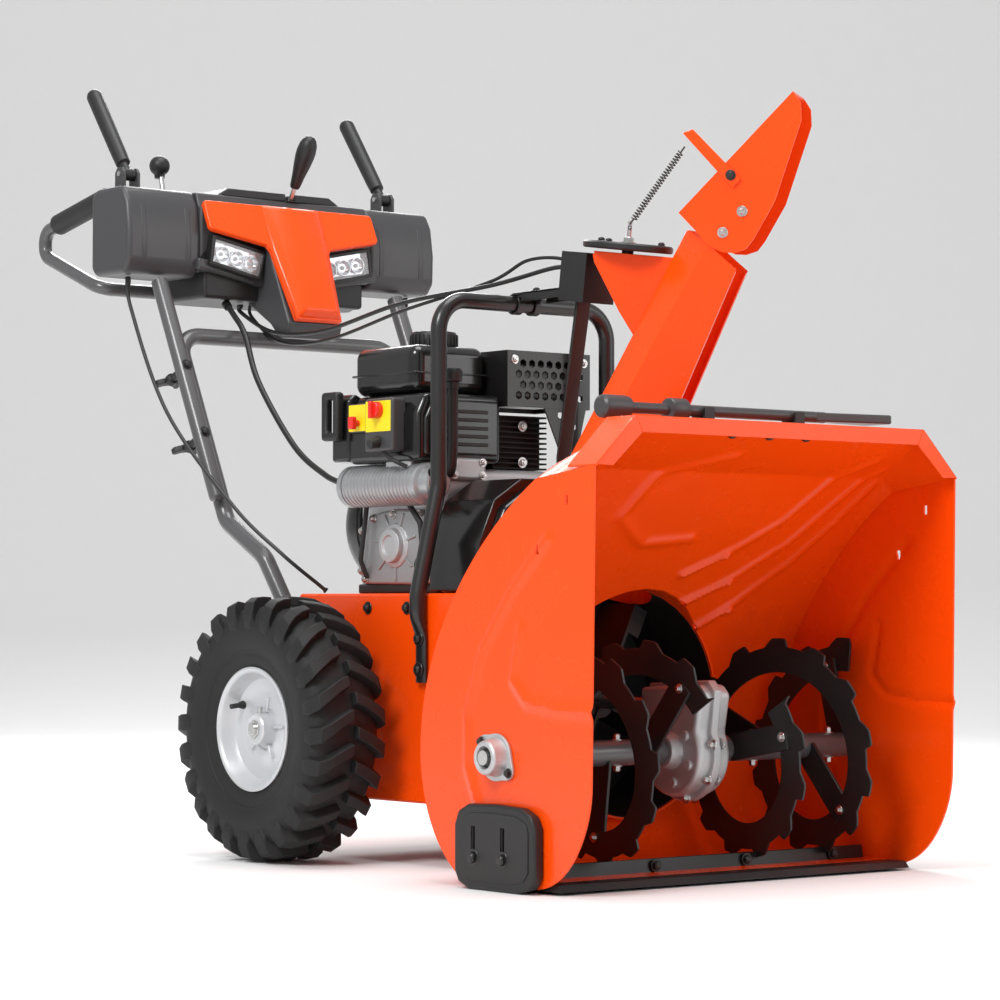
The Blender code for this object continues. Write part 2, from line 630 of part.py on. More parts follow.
def engine():
    case = soften(block("crankcase", (-0.100, -0.135, FRAME_TOP_Z + GAP), (0.100, 0.060, 0.550), "black_metal"),
                  0.008, 1)
    cut(case, rod("cut_crank", (0, -0.15, CRANK_Z), (0, -0.118, CRANK_Z), 0.0095 + 3 * GAP, "steel", 20))
    levels = []
    for k in range(6):
        z = 0.5480 + 0.014 * k
        levels += [(0.050, 0.066, z), (0.050, 0.066, z + 0.003), (0.037, 0.048, z + 0.004),
                   (0.037, 0.048, z + 0.0135)]
    join(case, finned("join_cylinder", (0.054, -0.052), levels, "black_metal"))
    join(case, rod("join_starter", (-0.1285, -0.165, 0.5246), (-0.1285, 0.040, 0.5246), 0.030, "black_metal", 20))
    shroud = soften(block("blower_shroud", (-0.150, -0.150, 0.5556), (-0.0005, 0.020, 0.652), "black_plastic"),
                    0.010, 1)
    join(shroud, block("join_control_box", (-0.170, -0.112, 0.570), (-0.145, -0.046, 0.645), "black_plastic"),
         block("join_ignition_panel", (-0.157, -0.034, 0.600), (-0.145, 0.010, 0.6405), "black_plastic"))
    profile = [(0.0, 0.0605), (0.099, 0.0605), (0.099, 0.085), (0.092, 0.104), (0.070, 0.112), (0.0, 0.116)]
    lathe("recoil_housing", profile, (0, 0, CRANK_Z), "Y", 28, "black_plastic")
    grip = soften(block("recoil_grip", (-0.166, 0.026, 0.590), (-0.1505, 0.066, 0.660), "black_plastic"), 0.005, 1)
    cut(grip, block("cut_recoil_grip", (-0.18, 0.037, 0.601), (-0.14, 0.055, 0.649), "steel"))
    move_origin(grip, (-0.158, 0.046, 0.600))
    tank = soften(block("fuel_tank", (-0.132, -0.114, 0.6523), (-0.002, 0.034, 0.722), "black_plastic"), 0.014, 2)
    neck = rod("join_fuel_neck", (-0.055, -0.057, 0.715), (-0.055, -0.057, 0.730), 0.026, "black_plastic", 20)
    room = block("cut_fuel_room", (-0.124, -0.106, 0.6600), (-0.010, 0.026, 0.7180), "steel")
    bore = rod("cut_fuel_neck", (-0.055, -0.057, 0.70), (-0.055, -0.057, 0.74), 0.023, "steel", 20)
    join(tank, neck)
    cut(tank, room, bore)
    cap = lathe("fuel_cap", [
        (0.0, 0.7303), (0.0263, 0.7303), (0.0263, 0.7225), (0.034, 0.7225), (0.035, 0.726), (0.034, 0.742),
        (0.031, 0.745), (0.0, 0.745),
    ], (-0.055, -0.057, 0), "Z", 24, "black_plastic")
    move_origin(cap, (-0.055, -0.057, 0.7303))
    key = soften(block("stop_key", (-0.172, -0.021, 0.604), (-0.1573, -0.009, 0.622), "red"), 0.002, 1)
    move_origin(key, (-0.1573, -0.015, 0.613))
    choke = rod("choke_knob", (-0.1703, -0.080, 0.628), (-0.181, -0.080, 0.628), 0.0115, "black_plastic", 14)
    join(choke, block("join_choke", (-0.187, -0.083, 0.616), (-0.1805, -0.077, 0.640), "black_plastic"))
    move_origin(choke, (-0.1703, -0.080, 0.628))
    join(case, rod("join_dipstick_foot", (-0.088, -0.125, 0.536), (-0.113, -0.176, 0.546), 0.0085, "black_metal", 12),
         rod("join_dipstick_tube", (-0.113, -0.1755, 0.5385), (-0.113, -0.1755, 0.665), 0.0075, "black_metal", 12))
    dipstick = lathe("dipstick_cap", [
        (0.0, 0.6655), (0.0125, 0.6655), (0.0135, 0.668), (0.0135, 0.680), (0.0105, 0.684), (0.0, 0.684),
    ], (-0.113, -0.1755, 0), "Z", 14, "black_plastic")
    move_origin(dipstick, (-0.113, -0.1755, 0.6655))
    guard = soften(block("muffler_guard", (0.002, -0.154, 0.637), (0.155, -0.030, 0.717), "black_metal"), 0.003, 1)
    cut(guard, block("cut_guard_room", (0.0045, -0.1515, 0.60), (0.1525, -0.0325, 0.7145), "steel"))
    bracket = [(0.066, 0.645), (0.150, 0.645), (0.128, 0.560), (0.106, 0.560)]
    join(guard, prism("join_muffler_bracket", bracket, "Y", -0.1535, -0.1515, "black_metal"))


def covers():
    profile = [(-0.135, 0.3755), (-0.135, 0.440), (-0.108, 0.500), (-0.060, 0.530), (0.060, 0.530),
               (0.108, 0.500), (0.135, 0.440), (0.135, 0.3755)]
    cover = soften(prism("belt_cover", profile, "Y", -0.272, -0.152, "black_plastic"), 0.004, 1)
    inner = [(x * 0.975, z - 0.003) for x, z in profile]
    inner[0], inner[-1] = (-0.1315, 0.36), (0.1315, 0.36)
    cut(cover, prism("cut_belt_cover", inner, "Y", -0.269, -0.10, "steel"))


# ---- guard bar and chute support ---------------------------------------------------------------------
def guard_bar():
    side = FRAME_HALF + 0.0115 + GAP
    half = [(-side, -0.189, 0.250), (-side, -0.189, 0.370), (-0.152, -0.194, 0.520), (-0.152, -0.194, 0.777)]
    path = bent(half + [(-x, y, z) for x, y, z in reversed(half)], 0.045)
    tube("guard_bar", path, 0.0115, "black_metal", 3)
    straight = chute_frame()
    support = block("chute_support", (-0.024, -0.311, 0.7885), (0.024, -0.196, 0.7935), "black_metal")
    clamp = block("join_clamp", (-0.022, -0.213, 0.7605), (0.022, -0.175, 0.7930), "black_metal")
    head = block("join_head", (-0.105, -0.028, 0.2625), (-0.052, 0.028, 0.3305), "black_plastic")
    lug = block("join_head_lug", (-0.060, -0.011, 0.3205), (0.011, 0.011, 0.3300), "black_plastic")
    pin = rod("join_head_pin", (0, 0, 0.3215), (0, 0, 0.3480), 0.0080, "black_plastic", 14)
    strap = [(-0.2815, 0.470), (-0.2775, 0.470), (-0.2775, 0.560), (-0.3200, 0.782), (-0.3260, 0.782),
             (-0.2815, 0.562)]
    post = prism("join_post", strap, "X", -0.012, 0.012, "black_metal")
    join(support, clamp, post)
    for piece in (head, lug, pin):
        piece.data.transform(straight)
        join(support, piece)
    cut(support, rod("cut_clamp", (-0.05, -0.194, 0.777), (0.05, -0.194, 0.777), 0.0115 + GAP, "steel", 20))


# ---- chute -------------------------------------------------------------------------------------------
def chute_frame(turn=0.0):
    """Local axes: X is the way the chute throws, Z is the axis it turns on."""
    up = Vector((0, -math.sin(CHUTE_TILT), math.cos(CHUTE_TILT)))
    ahead = Vector((0, -math.cos(CHUTE_TILT), -math.sin(CHUTE_TILT)))
    throw = Matrix.Rotation(turn, 3, up) @ ahead
    across = up.cross(throw)
    basis = Matrix((throw, across, up)).transposed().to_4x4()
    return Matrix.Translation(CHUTE_FOOT) @ basis


def settle(obj, matrix, origin):
    """Puts a piece modelled in local axes where it belongs, with its origin on a world point."""
    obj.data.transform(matrix)
    return move_origin(obj, origin)


def chute_back(height):
    return -0.071 + 0.159 * (height + 0.008) / 0.388


def chute_front(height):
    return 0.054 + 0.103 * (height - 0.006) / 0.319


def chute():
    turned = chute_frame(CHUTE_TURN)
    bm = bmesh.new()
    rows = []
    for t in (0.0, 0.25, 0.5, 0.75, 1.0):
        back_height = 0.0095 + t * (0.372 - 0.0095)
        front_height = 0.0095 + t * (0.325 - 0.0095)
        back, front = chute_back(back_height), chute_front(front_height)
        mid_height = (2 * back_height + front_height) / 3
        half = [(front, CHUTE_HALF, front_height), (back + 0.030, CHUTE_HALF, mid_height),
                (back, CHUTE_HALF - 0.030, back_height)]
        rows.append([bm.verts.new(p) for p in half + [(u, -w, z) for u, w, z in reversed(half)]])
    for one, two in zip(rows, rows[1:]):
        for k in range(5):
            bm.faces.new((one[k], two[k], two[k + 1], one[k + 1]))
    body = solid("chute", bm, "orange")
    thick = body.modifiers.new("sheet", "SOLIDIFY")
    thick.thickness = 0.0028
    thick.offset = CHUTE_SOLIDIFY_SIDE
    thick.use_even_offset = True
    settle(body, turned, CHUTE_FOOT)
    ring = lathe("join_chute_ring", [(0.0700, 0.0), (0.0850, 0.0), (0.0850, 0.0045), (0.0800, 0.0110),
                                     (0.0700, 0.0110)], (0, 0, 0), "Z", 28, "orange")
    join(body, settle(ring, turned, CHUTE_FOOT))
    gear = disc("chute_disc", (0, 0, GEAR_HEIGHT), "Z", 0.061, 0.010, "black_plastic", 0.0085, 28)
    settle(gear, turned, CHUTE_FOOT)
    cheek = [(-0.040, 0.3185), (0.045, 0.3185), (0.045, 0.3325), (0.0690, 0.3325), (0.0235, 0.2235), (0.0, 0.255)]
    for side, sign in SIDES:
        low, high = sorted((sign * 0.0245, sign * 0.0270))
        join(body, settle(prism(f"join_cheek_{side}", cheek, "Y", low, high, "orange"), turned, CHUTE_FOOT))
    deflector(turned)


CHUTE_SOLIDIFY_SIDE = -1.0


def deflector(turned):
    outline = [
        (0.074, 0.393), (0.129, 0.462), (0.210, 0.564), (0.2215, 0.549), (0.2245, 0.527), (0.1997, 0.4185),
        (0.176, 0.366), (0.1676, 0.353), (0.1525, 0.3465), (0.1375, 0.346), (0.1156, 0.354), (0.098, 0.372),
    ]
    across = CHUTE_HALF + 0.0035
    pivot = turned @ Vector((DEFLECTOR_PIVOT[0], 0.0, DEFLECTOR_PIVOT[1]))
    hood = prism("deflector", outline, "Y", -across, across, "orange")
    room = [(0.0763, 0.3910), (0.2123, 0.5615), (0.30, 0.60), (0.30, 0.20), (0.05, 0.20), (0.0763 - 0.02, 0.366)]
    cut(hood, settle(prism("cut_deflector", room, "Y", -CHUTE_HALF - 0.0006, CHUTE_HALF + 0.0006, "steel"),
                     turned, pivot))
    settle(hood, turned, pivot)
    arm = [(0.070, 0.498), (0.083, 0.504), (0.153, 0.444), (0.143, 0.431)]
    arm_low, arm_high = -across - 0.0045, -across + 0.0010
    join(hood, settle(prism("join_deflector_arm", arm, "Y", arm_low, arm_high, "orange"), turned, pivot))
    spring = rod("deflector_spring", (0.0757, -across - 0.0095, 0.480), (0.012, -across - 0.0095, 0.372), 0.0048,
                 "steel", 10)
    settle(spring, turned, CHUTE_FOOT)


# ---- handles and console -----------------------------------------------------------------------------
def slope():
    """Unit vectors along the handle tubes and out of their rear side."""
    along = Vector((0, HANDLE_HEAD[0] - HANDLE_FOOT[0], HANDLE_HEAD[1] - HANDLE_FOOT[1])).normalized()
    return along, Vector((0, along.z, -along.y))


def handles():
    along, rear = slope()
    half = [(-0.1855, 0.072, 0.262), (-0.1855, 0.090, 0.315), (-0.203, 0.150, 0.425), (-0.203, 0.248, 0.478),
            (-0.203, 0.268, 0.520), (-0.203, 0.385, 0.762)]
    path = bent(half + [(-x, y, z) for x, y, z in reversed(half)], 0.040)
    tube("lower_handle", path, TUBE_RADIUS, "gunmetal", 3)
    for side, sign in SIDES:
        foot = Vector((sign * HANDLE_X, *HANDLE_FOOT))
        top = Vector((sign * HANDLE_X, 0.4045, 0.8430))
        rod(f"upper_handle_{side}", foot, top, TUBE_RADIUS, "gunmetal", 20)
        for place_name, reach in (("low", 0.1055), ("high", 0.219)):
            centre = foot + along * reach
            knob = rod(f"wing_knob_{side}_{place_name}", centre + rear * (TUBE_RADIUS + GAP),
                       centre + rear * 0.046, 0.0055, "black_plastic", 10)
            wings = block(f"join_wings_{side}_{place_name}", (-0.021, -0.0045, -0.009), (0.021, 0.0045, 0.009),
                          "black_plastic")
            frame = Matrix((Vector((1, 0, 0)), along, rear)).transposed().to_4x4()
            wings.data.transform(Matrix.Translation(centre + rear * 0.046) @ frame)
            join(knob, wings)
            move_origin(knob, centre + rear * 0.046)


def console():
    up = Vector((0, 0.421, 0.907))
    out = Vector((0, -0.907, 0.421))
    start = Vector((0, 0.299, 0.790))
    outline = [(-0.043, 0.0), (0.043, 0.0), (0.055, 0.127), (0.158, 0.149), (0.158, 0.1995), (-0.158, 0.1995),
               (-0.158, 0.149), (-0.055, 0.127)]
    panel = soften(prism("console_panel", outline, "Z", -0.010, 0.0, "orange"), 0.003, 1)
    panel.data.transform(Matrix.Translation(start) @ Matrix((Vector((1, 0, 0)), up, out)).transposed().to_4x4())
    wide = [(0.3895, 0.862), (0.3895, 0.957), (0.3955, 0.9665), (0.401, 0.984), (0.540, 0.984), (0.540, 0.862)]
    nose = [(0.316, 0.762), (0.3095, 0.785), (0.3935, 0.966), (0.420, 0.966), (0.420, 0.820), (0.360, 0.785),
            (0.336, 0.762)]
    body = prism("console_body", wide, "X", -0.160, 0.160, "dark_grey")
    join(body, prism("join_nose", nose, "X", -0.042, 0.042, "dark_grey"))
    speed_slot = block("cut_speed_slot", (0.014, 0.4025, 0.905), (0.026, 0.486, 1.0), "steel")
    stick_slot = block("cut_stick_slot", (-0.146, 0.470, 0.905), (-0.130, 0.531, 1.0), "steel")
    join(body, block("join_tray", (-0.150, 0.392, 0.822), (0.150, 0.526, 0.870), "dark_grey"))
    for side, sign in SIDES:
        low, high = sorted((sign * 0.1588, sign * 0.290))
        join(body, soften(block(f"join_pod_{side}", (low, 0.3855, 0.850), (high, 0.495, 0.9855), "dark_grey"), 0.012, 2))
        for cheek in (0.2265, 0.2515):
            edges = sorted((sign * cheek, sign * (cheek + 0.005)))
            join(body, block(f"join_cheek_{side}_{cheek}", (edges[0], 0.452, 0.975), (edges[1], 0.478, 1.022),
                            "dark_grey"))
        lever(side, sign)
        grip(side, sign)
    cut(body, speed_slot, stick_slot)
    half = [(-GRIP_X, *GRIP_START), (-GRIP_X, *GRIP_BEND), (-GRIP_X, GRIP_BEND[0], 0.906), (-GRIP_X, 0.543, 0.842)]
    path = bent(half + [(-x, y, z) for x, y, z in reversed(half)], 0.022, 3)
    tube("grip_tube", path, 0.0110, "gunmetal", 3)
    knobs()


def lever(side, sign):
    pivot = Vector((sign * GRIP_X, 0.465, 1.010))
    tip = Vector((sign * GRIP_X, 0.569, 1.150))
    along = (tip - pivot).normalized()
    arm = rod(f"lever_{side}", pivot + along * 0.020, tip, 0.0125, "black_plastic", 14)
    soften(arm, 0.003)
    width = 0.0090
    hub = rod(f"join_hub_{side}", pivot - Vector((width, 0, 0)), pivot + Vector((width, 0, 0)), 0.0095,
              "black_plastic", 14)
    neck = rod(f"join_neck_{side}", pivot, pivot + along * 0.030, 0.0070, "black_plastic", 10)
    join(arm, hub, neck)
    move_origin(arm, pivot)


def grip(side, sign):
    head = Vector((sign * GRIP_X, *GRIP_START))
    along = (Vector((sign * GRIP_X, *GRIP_BEND)) - head).normalized()
    start = head + along * 0.024
    sleeve = rod(f"grip_{side}", start, start + along * 0.148, GRIP_RADIUS, "rubber", 18)
    soften(sleeve, 0.002)
    cut(sleeve, rod(f"cut_grip_{side}", start - along * 0.01, start + along * 0.17, 0.0110 + GAP, "steel", 16))


def knobs():
    """The speed selector and the chute's control stick."""
    pivot = Vector((0.020, 0.449, 0.915))
    tip = Vector((0.020, 0.352, 1.080))
    back = (tip - pivot).normalized()
    across = Vector((0, back.z, -back.y))
    outline = []
    for reach, half in ((0.0, 0.0035), (0.095, 0.0035), (0.118, 0.010), (0.160, 0.017), (0.180, 0.015),
                        (0.1915, 0.006)):
        outline.append((reach, half))
    shape = [(reach, half) for reach, half in outline] + [(reach, -half) for reach, half in reversed(outline)]
    points = [pivot + back * a + across * b for a, b in shape]
    speed = prism("speed_lever", [(p.y, p.z) for p in points], "X", 0.0165, 0.0235, "black_plastic")
    move_origin(soften(speed, 0.001), pivot)
    base = Vector((-0.138, 0.505, 0.915))
    stick = rod("chute_stick", base, base + Vector((0, 0.0305, 0.118)), 0.0042, "steel", 10)
    ball_centre = base + Vector((0, 0.032, 0.125))
    bm = bmesh.new()
    bmesh.ops.create_icosphere(bm, subdivisions=2, radius=0.0160, matrix=Matrix.Translation(ball_centre))
    join(stick, solid("join_ball", bm, "black_plastic", smooth=40))
    move_origin(stick, base)


# ---- cables ------------------------------------------------------------------------------------------
def cables():
    head = chute_frame() @ Vector((-0.1065, 0.0, 0.30))
    routes = {
        "cable_chute": ([
            (0.0, head.y + 0.002, head.z + 0.008), (-0.012, -0.270, 0.822), (-0.030, -0.160, 0.806),
            (-0.055, 0.020, 0.792), (-0.060, 0.200, 0.765), (-0.062, 0.330, 0.770), (-0.062, 0.420, 0.806),
            (-0.062, 0.424, 0.8190),
        ], 0.0032),
        "cable_auger_clutch": ([
            (0.262, 0.430, 0.8495), (0.262, 0.420, 0.800), (0.255, 0.330, 0.640), (0.225, 0.200, 0.500),
            (0.195, 0.120, 0.430), (0.150, 0.090, 0.385), (0.140, 0.085, 0.3760),
        ], 0.0028),
        "cable_drive_clutch": ([
            (-0.262, 0.430, 0.8495), (-0.262, 0.420, 0.800), (-0.255, 0.330, 0.640), (-0.225, 0.200, 0.500),
            (-0.195, 0.120, 0.430), (-0.150, 0.090, 0.385), (-0.140, 0.085, 0.3760),
        ], 0.0028),
        "wire_harness": ([
            (-0.100, 0.408, 0.8180), (-0.100, 0.385, 0.7980), (-0.103, 0.350, 0.765), (-0.112, 0.300, 0.690),
            (-0.124, 0.190, 0.590), (-0.126, 0.110, 0.545), (-0.127, 0.060, 0.530), (-0.128, 0.0430, 0.526),
        ], 0.0045),
    }
    for name, (points, radius) in routes.items():
        tube(name, smooth_route(points), radius, "black_plastic", 2)


# ---- clean-out tool ----------------------------------------------------------------------------------
def clean_out_tool():
    y, z = TOOL_LINE
    bar = rod("clean_out_tool", (-0.205, y, z), (0.150, y, z), 0.0075, "black_plastic", 12)
    paddle = [(0.138, -0.007), (0.250, -0.026), (0.250, 0.026), (0.138, 0.007)]
    blade = prism("join_paddle", [(x, y + across) for x, across in paddle], "Z", z - 0.006, z + 0.006,
                  "black_plastic")
    handle = rod("join_tool_handle", (-0.244, y, z), (-0.197, y, z), 0.0150, "black_plastic", 14)
    collar = rod("join_tool_collar", (-0.131, y, z), (-0.103, y, z), 0.0150, "black_plastic", 14)
    join(bar, blade, handle, collar)


def tool_clips():
    """Two cradles on the roof that the clean-out tool is pressed into from above."""
    y, z = TOOL_LINE
    clips = []
    for index, x in enumerate((-0.070, 0.090)):
        clip = block(f"join_clip_{index}", (x - 0.008, y - 0.014, 0.535), (x + 0.008, y + 0.014, z + 0.006), "orange")
        trough = block(f"cut_clip_{index}", (x - 0.02, y - 0.0079, z - 0.0079), (x + 0.02, y + 0.0079, z + 0.02),
                       "orange")
        clips.append(cut(clip, trough))
    return clips


def build():
    for obj in list(bpy.data.objects):
        bpy.data.objects.remove(obj, do_unlink=True)
    side_plates()
    auger_housing()
    impeller_drum()
    skid_shoes()
    augers()
    auger_gearbox()
    impeller()
    drive_line()
    tractor_frame()
    wheels()
    engine()
    covers()
    guard_bar()
    chute()
    handles()
    console()
    cables()
    clean_out_tool()


build()
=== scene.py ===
"""The looks of the two stage snowblower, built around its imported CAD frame.

Metres; -Y is ahead and -X is the right side.
"""

import math

import bmesh
import bpy
import numpy as np
from mathutils import Matrix, Vector


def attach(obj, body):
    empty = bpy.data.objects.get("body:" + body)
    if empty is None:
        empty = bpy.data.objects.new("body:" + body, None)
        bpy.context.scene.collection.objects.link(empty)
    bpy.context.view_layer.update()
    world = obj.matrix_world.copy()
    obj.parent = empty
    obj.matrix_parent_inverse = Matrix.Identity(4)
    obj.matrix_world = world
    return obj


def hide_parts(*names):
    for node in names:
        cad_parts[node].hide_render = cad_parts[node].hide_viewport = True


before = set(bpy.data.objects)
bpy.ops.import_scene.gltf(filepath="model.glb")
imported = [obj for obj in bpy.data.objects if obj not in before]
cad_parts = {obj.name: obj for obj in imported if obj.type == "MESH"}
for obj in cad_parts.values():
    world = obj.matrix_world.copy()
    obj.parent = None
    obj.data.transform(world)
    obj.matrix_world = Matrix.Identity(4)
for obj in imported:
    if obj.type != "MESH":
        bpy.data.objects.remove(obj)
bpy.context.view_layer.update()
SIDES = (("right", -1), ("left", 1))

# places taken from the part's own dimensions
HALF_WIDTH, SHEET = 0.3175, 0.003
FRONT_Y, SHOULDER_Z, TOP_Z, CROWN_HALF, LIP = -0.719, 0.527, 0.588, 0.2535, 0.02
AUGER_Y, AUGER_Z, AUGER_RADIUS, RIBBON_WIDTH = -0.53, 0.166, 0.146, 0.046
IMPELLER_Z, DRUM_RADIUS = 0.225, 0.153
AXLE_Y, TYRE_RADIUS, TYRE_INNER_X, TYRE_OUTER_X = 0.008, 0.184, 0.215, 0.335
CRANK_Z = 0.472
FRAME_HALF, FRAME_TOP_Z = 0.172, 0.372
HANDLE_X, TUBE_RADIUS = 0.222, 0.0127
HANDLE_FOOT, HANDLE_HEAD = (0.243, 0.511), (0.402, 0.838)
GRIP_X = 0.241
GRIP_START, GRIP_BEND = (0.4985, 0.9845), (0.7078, 0.944)
CHUTE_FOOT = Vector((0.0, -0.367, 0.5))
CHUTE_TILT, CHUTE_TURN, CHUTE_HALF = math.radians(8), math.radians(40), 0.065
DEFLECTOR_PIVOT = (0.135, 0.372)
TOOL_LINE = (-0.64, 0.604)
TYRE_MIDDLE, LUGS = (TYRE_INNER_X + TYRE_OUTER_X) / 2, 24
RIBBON_START, RIBBON_END, RIBBON_TURNS = 0.066, 0.292, 1.85
ARM_PLACES = (0.03, 0.35, 0.66, 0.97)
SKID_SLOTS = (-0.5605, -0.502)
GEAR_Z = 0.338
WRAP_COLUMNS = 220


def shader_of(material):
    return material.node_tree.nodes["Principled BSDF"]


def surface(name, colour, roughness, grain=900.0, bump=0.05, spread=0.06, shade=0.06, metallic=0.0,
            coat=0.0, specular=0.5):
    """A procedural finish: colour and roughness drift with a soft noise, and a fine grain lifts the surface."""
    material = bpy.data.materials.new(name)
    material.use_nodes = True
    tree = material.node_tree
    shader = shader_of(material)
    shader.inputs["Metallic"].default_value = metallic
    shader.inputs["Coat Weight"].default_value = coat
    shader.inputs["Coat Roughness"].default_value = 0.06
    shader.inputs["Specular IOR Level"].default_value = specular
    place = tree.nodes.new("ShaderNodeTexCoord")
    drift = tree.nodes.new("ShaderNodeTexNoise")
    drift.inputs["Scale"].default_value = 14.0
    drift.inputs["Detail"].default_value = 5.0
    tree.links.new(place.outputs["Object"], drift.inputs["Vector"])
    ramp = tree.nodes.new("ShaderNodeMix")
    ramp.data_type = "RGBA"
    dark = [c * (1 - shade) for c in colour]
    light = [min(1.0, c * (1 + shade)) for c in colour]
    ramp.inputs["A"].default_value = (*dark, 1)
    ramp.inputs["B"].default_value = (*light, 1)
    tree.links.new(drift.outputs["Fac"], ramp.inputs["Factor"])
    tree.links.new(ramp.outputs["Result"], shader.inputs["Base Color"])
    gloss = tree.nodes.new("ShaderNodeMapRange")
    gloss.inputs["To Min"].default_value = max(0.02, roughness - spread)
    gloss.inputs["To Max"].default_value = min(1.0, roughness + spread)
    tree.links.new(drift.outputs["Fac"], gloss.inputs["Value"])
    tree.links.new(gloss.outputs["Result"], shader.inputs["Roughness"])
    fine = tree.nodes.new("ShaderNodeTexNoise")
    fine.inputs["Scale"].default_value = grain
    fine.inputs["Detail"].default_value = 3.0
    tree.links.new(place.outputs["Object"], fine.inputs["Vector"])
    lift = tree.nodes.new("ShaderNodeBump")
    lift.inputs["Strength"].default_value = bump
    lift.inputs["Distance"].default_value = 0.001
    tree.links.new(fine.outputs["Fac"], lift.inputs["Height"])
    tree.links.new(lift.outputs["Normal"], shader.inputs["Normal"])
    return material


ORANGE = surface("powder_orange", (0.95, 0.072, 0.001), 0.27, 260.0, 0.02, 0.04, 0.02,
                 coat=0.16, specular=0.3)
BLACK_METAL = surface("black_enamel", (0.01, 0.01, 0.01), 0.34, 300.0, 0.03, 0.08, 0.15, coat=0.25)
BLACK_STEEL = surface("black_sheet_steel", (0.011, 0.011, 0.011), 0.4, 220.0, 0.06, 0.1, 0.2)
# near-black finish of the cylinder fins, also used as painted shade inside the impeller drum
FINS_AND_PAINTED_SHADE = surface("cast_fins_and_drum_shade", (0.012, 0.012, 0.012), 0.62, 500.0, 0.25, 0.08, 0.2, specular=0.3)
GUNMETAL = surface("grey_tube", (0.085, 0.085, 0.088), 0.33, 320.0, 0.03, 0.06, 0.08, coat=0.3)
GREY_PLASTIC = surface("grey_moulding", (0.05, 0.05, 0.053), 0.38, 1500.0, 0.1, 0.05, 0.05)
BLACK_PLASTIC = surface("black_moulding", (0.012, 0.012, 0.0125), 0.45, 1500.0, 0.12, 0.06, 0.1)
GLOSS_PLASTIC = surface("black_gloss_moulding", (0.007, 0.007, 0.007), 0.2, 500.0, 0.03, 0.05, 0.1,
                        coat=0.3)
RUBBER = surface("tyre_rubber", (0.013, 0.013, 0.013), 0.62, 420.0, 0.35, 0.1, 0.25, specular=0.35)
GRIP_RUBBER = surface("grip_rubber", (0.015, 0.015, 0.016), 0.58, 1100.0, 0.3, 0.08, 0.15)
SILVER = surface("silver_paint", (0.6, 0.61, 0.63), 0.38, 500.0, 0.06, 0.06, 0.05, metallic=0.35, coat=0.15)
ENGINE_SILVER = surface("engine_paint", (0.4, 0.41, 0.42), 0.36, 500.0, 0.1, 0.08, 0.08,
                        metallic=0.6, coat=0.1)
CASTING = surface("cast_aluminium", (0.56, 0.57, 0.58), 0.5, 700.0, 0.45, 0.1, 0.12, metallic=0.75)
STEEL = surface("zinc_steel", (0.62, 0.62, 0.61), 0.28, 600.0, 0.08, 0.1, 0.1, metallic=1.0)
DARK_STEEL = surface("dark_bolt_steel", (0.06, 0.06, 0.06), 0.35, 600.0, 0.08, 0.08, 0.1, metallic=0.8)
CHROME = surface("reflector", (0.85, 0.86, 0.88), 0.1, 160.0, 0.25, 0.05, 0.05, metallic=1.0)
YELLOW = surface("yellow_plate", (0.92, 0.72, 0.01), 0.4, 700.0, 0.04, 0.05, 0.04)
RED = surface("red_key", (0.78, 0.02, 0.012), 0.3, 700.0, 0.04, 0.05, 0.05, coat=0.3)
LABEL = surface("pale_plate", (0.72, 0.72, 0.72), 0.42, 700.0, 0.04, 0.05, 0.05)
CABLE = surface("cable_jacket", (0.011, 0.011, 0.011), 0.4, 900.0, 0.2, 0.08, 0.15)
LENS = surface("lamp_glass", (0.95, 0.97, 1.0), 0.04, 120.0, 0.15, 0.02, 0.02)
shader_of(LENS).inputs["Transmission Weight"].default_value = 0.85
shader_of(LENS).inputs["IOR"].default_value = 1.45


# ---- building pieces ---------------------------------------------------------------------------------
def finish(name, mesh, material, body, replaces=(), bevel=0.0, segments=2, angle=35, matrix=None):
    """Links a mesh as a piece that rides on a body, with soft edges and a finish."""
    obj = bpy.data.objects.new(name, mesh)
    bpy.context.scene.collection.objects.link(obj)
    if matrix is not None:
        mesh.transform(matrix)
    mesh.materials.append(material)
    if bevel:
        edges = obj.modifiers.new("edges", "BEVEL")
        edges.width = bevel
        edges.segments = segments
        edges.limit_method = "ANGLE"
        edges.angle_limit = math.radians(32)
        edges.harden_normals = False
    mesh.shade_smooth()
    mesh.set_sharp_from_angle(angle=math.radians(angle))
    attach(obj, body)
    if replaces:
        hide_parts(*replaces)
    return obj


def mesh_of(name, bm):
    bmesh.ops.recalc_face_normals(bm, faces=bm.faces)
    mesh = bpy.data.meshes.new(name)
    bm.to_mesh(mesh)
    bm.free()
    return mesh


def swizzle(axis, a, b, along):
    return {"X": (along, a, b), "Y": (a, along, b), "Z": (a, b, along)}[axis]


def add_prism(bm, outline, axis, low, high, matrix=None):
    ring = [bm.verts.new(swizzle(axis, a, b, low)) for a, b in outline]
    top = [bm.verts.new(swizzle(axis, a, b, high)) for a, b in outline]
    bm.faces.new(ring)
    bm.faces.new(list(reversed(top)))
    count = len(ring)
    for k in range(count):
        bm.faces.new((ring[k], top[k], top[(k + 1) % count], ring[(k + 1) % count]))
    if matrix is not None:
        bmesh.ops.transform(bm, matrix=matrix, verts=ring + top)


def add_box(bm, low, high, matrix=None):
    (x0, y0, z0), (x1, y1, z1) = low, high
    add_prism(bm, [(x0, y0), (x1, y0), (x1, y1), (x0, y1)], "Z", z0, z1, matrix)


def add_rod(bm, start, end, radius, sides=24, end_radius=None):
    start, end = Vector(start), Vector(end)
    turn = (end - start).to_track_quat("Z", "Y").to_matrix().to_4x4()
    bmesh.ops.create_cone(
        bm, cap_ends=True, segments=sides, radius1=radius, depth=(end - start).length,
        radius2=radius if end_radius is None else end_radius,
        matrix=Matrix.Translation((start + end) / 2) @ turn,
    )


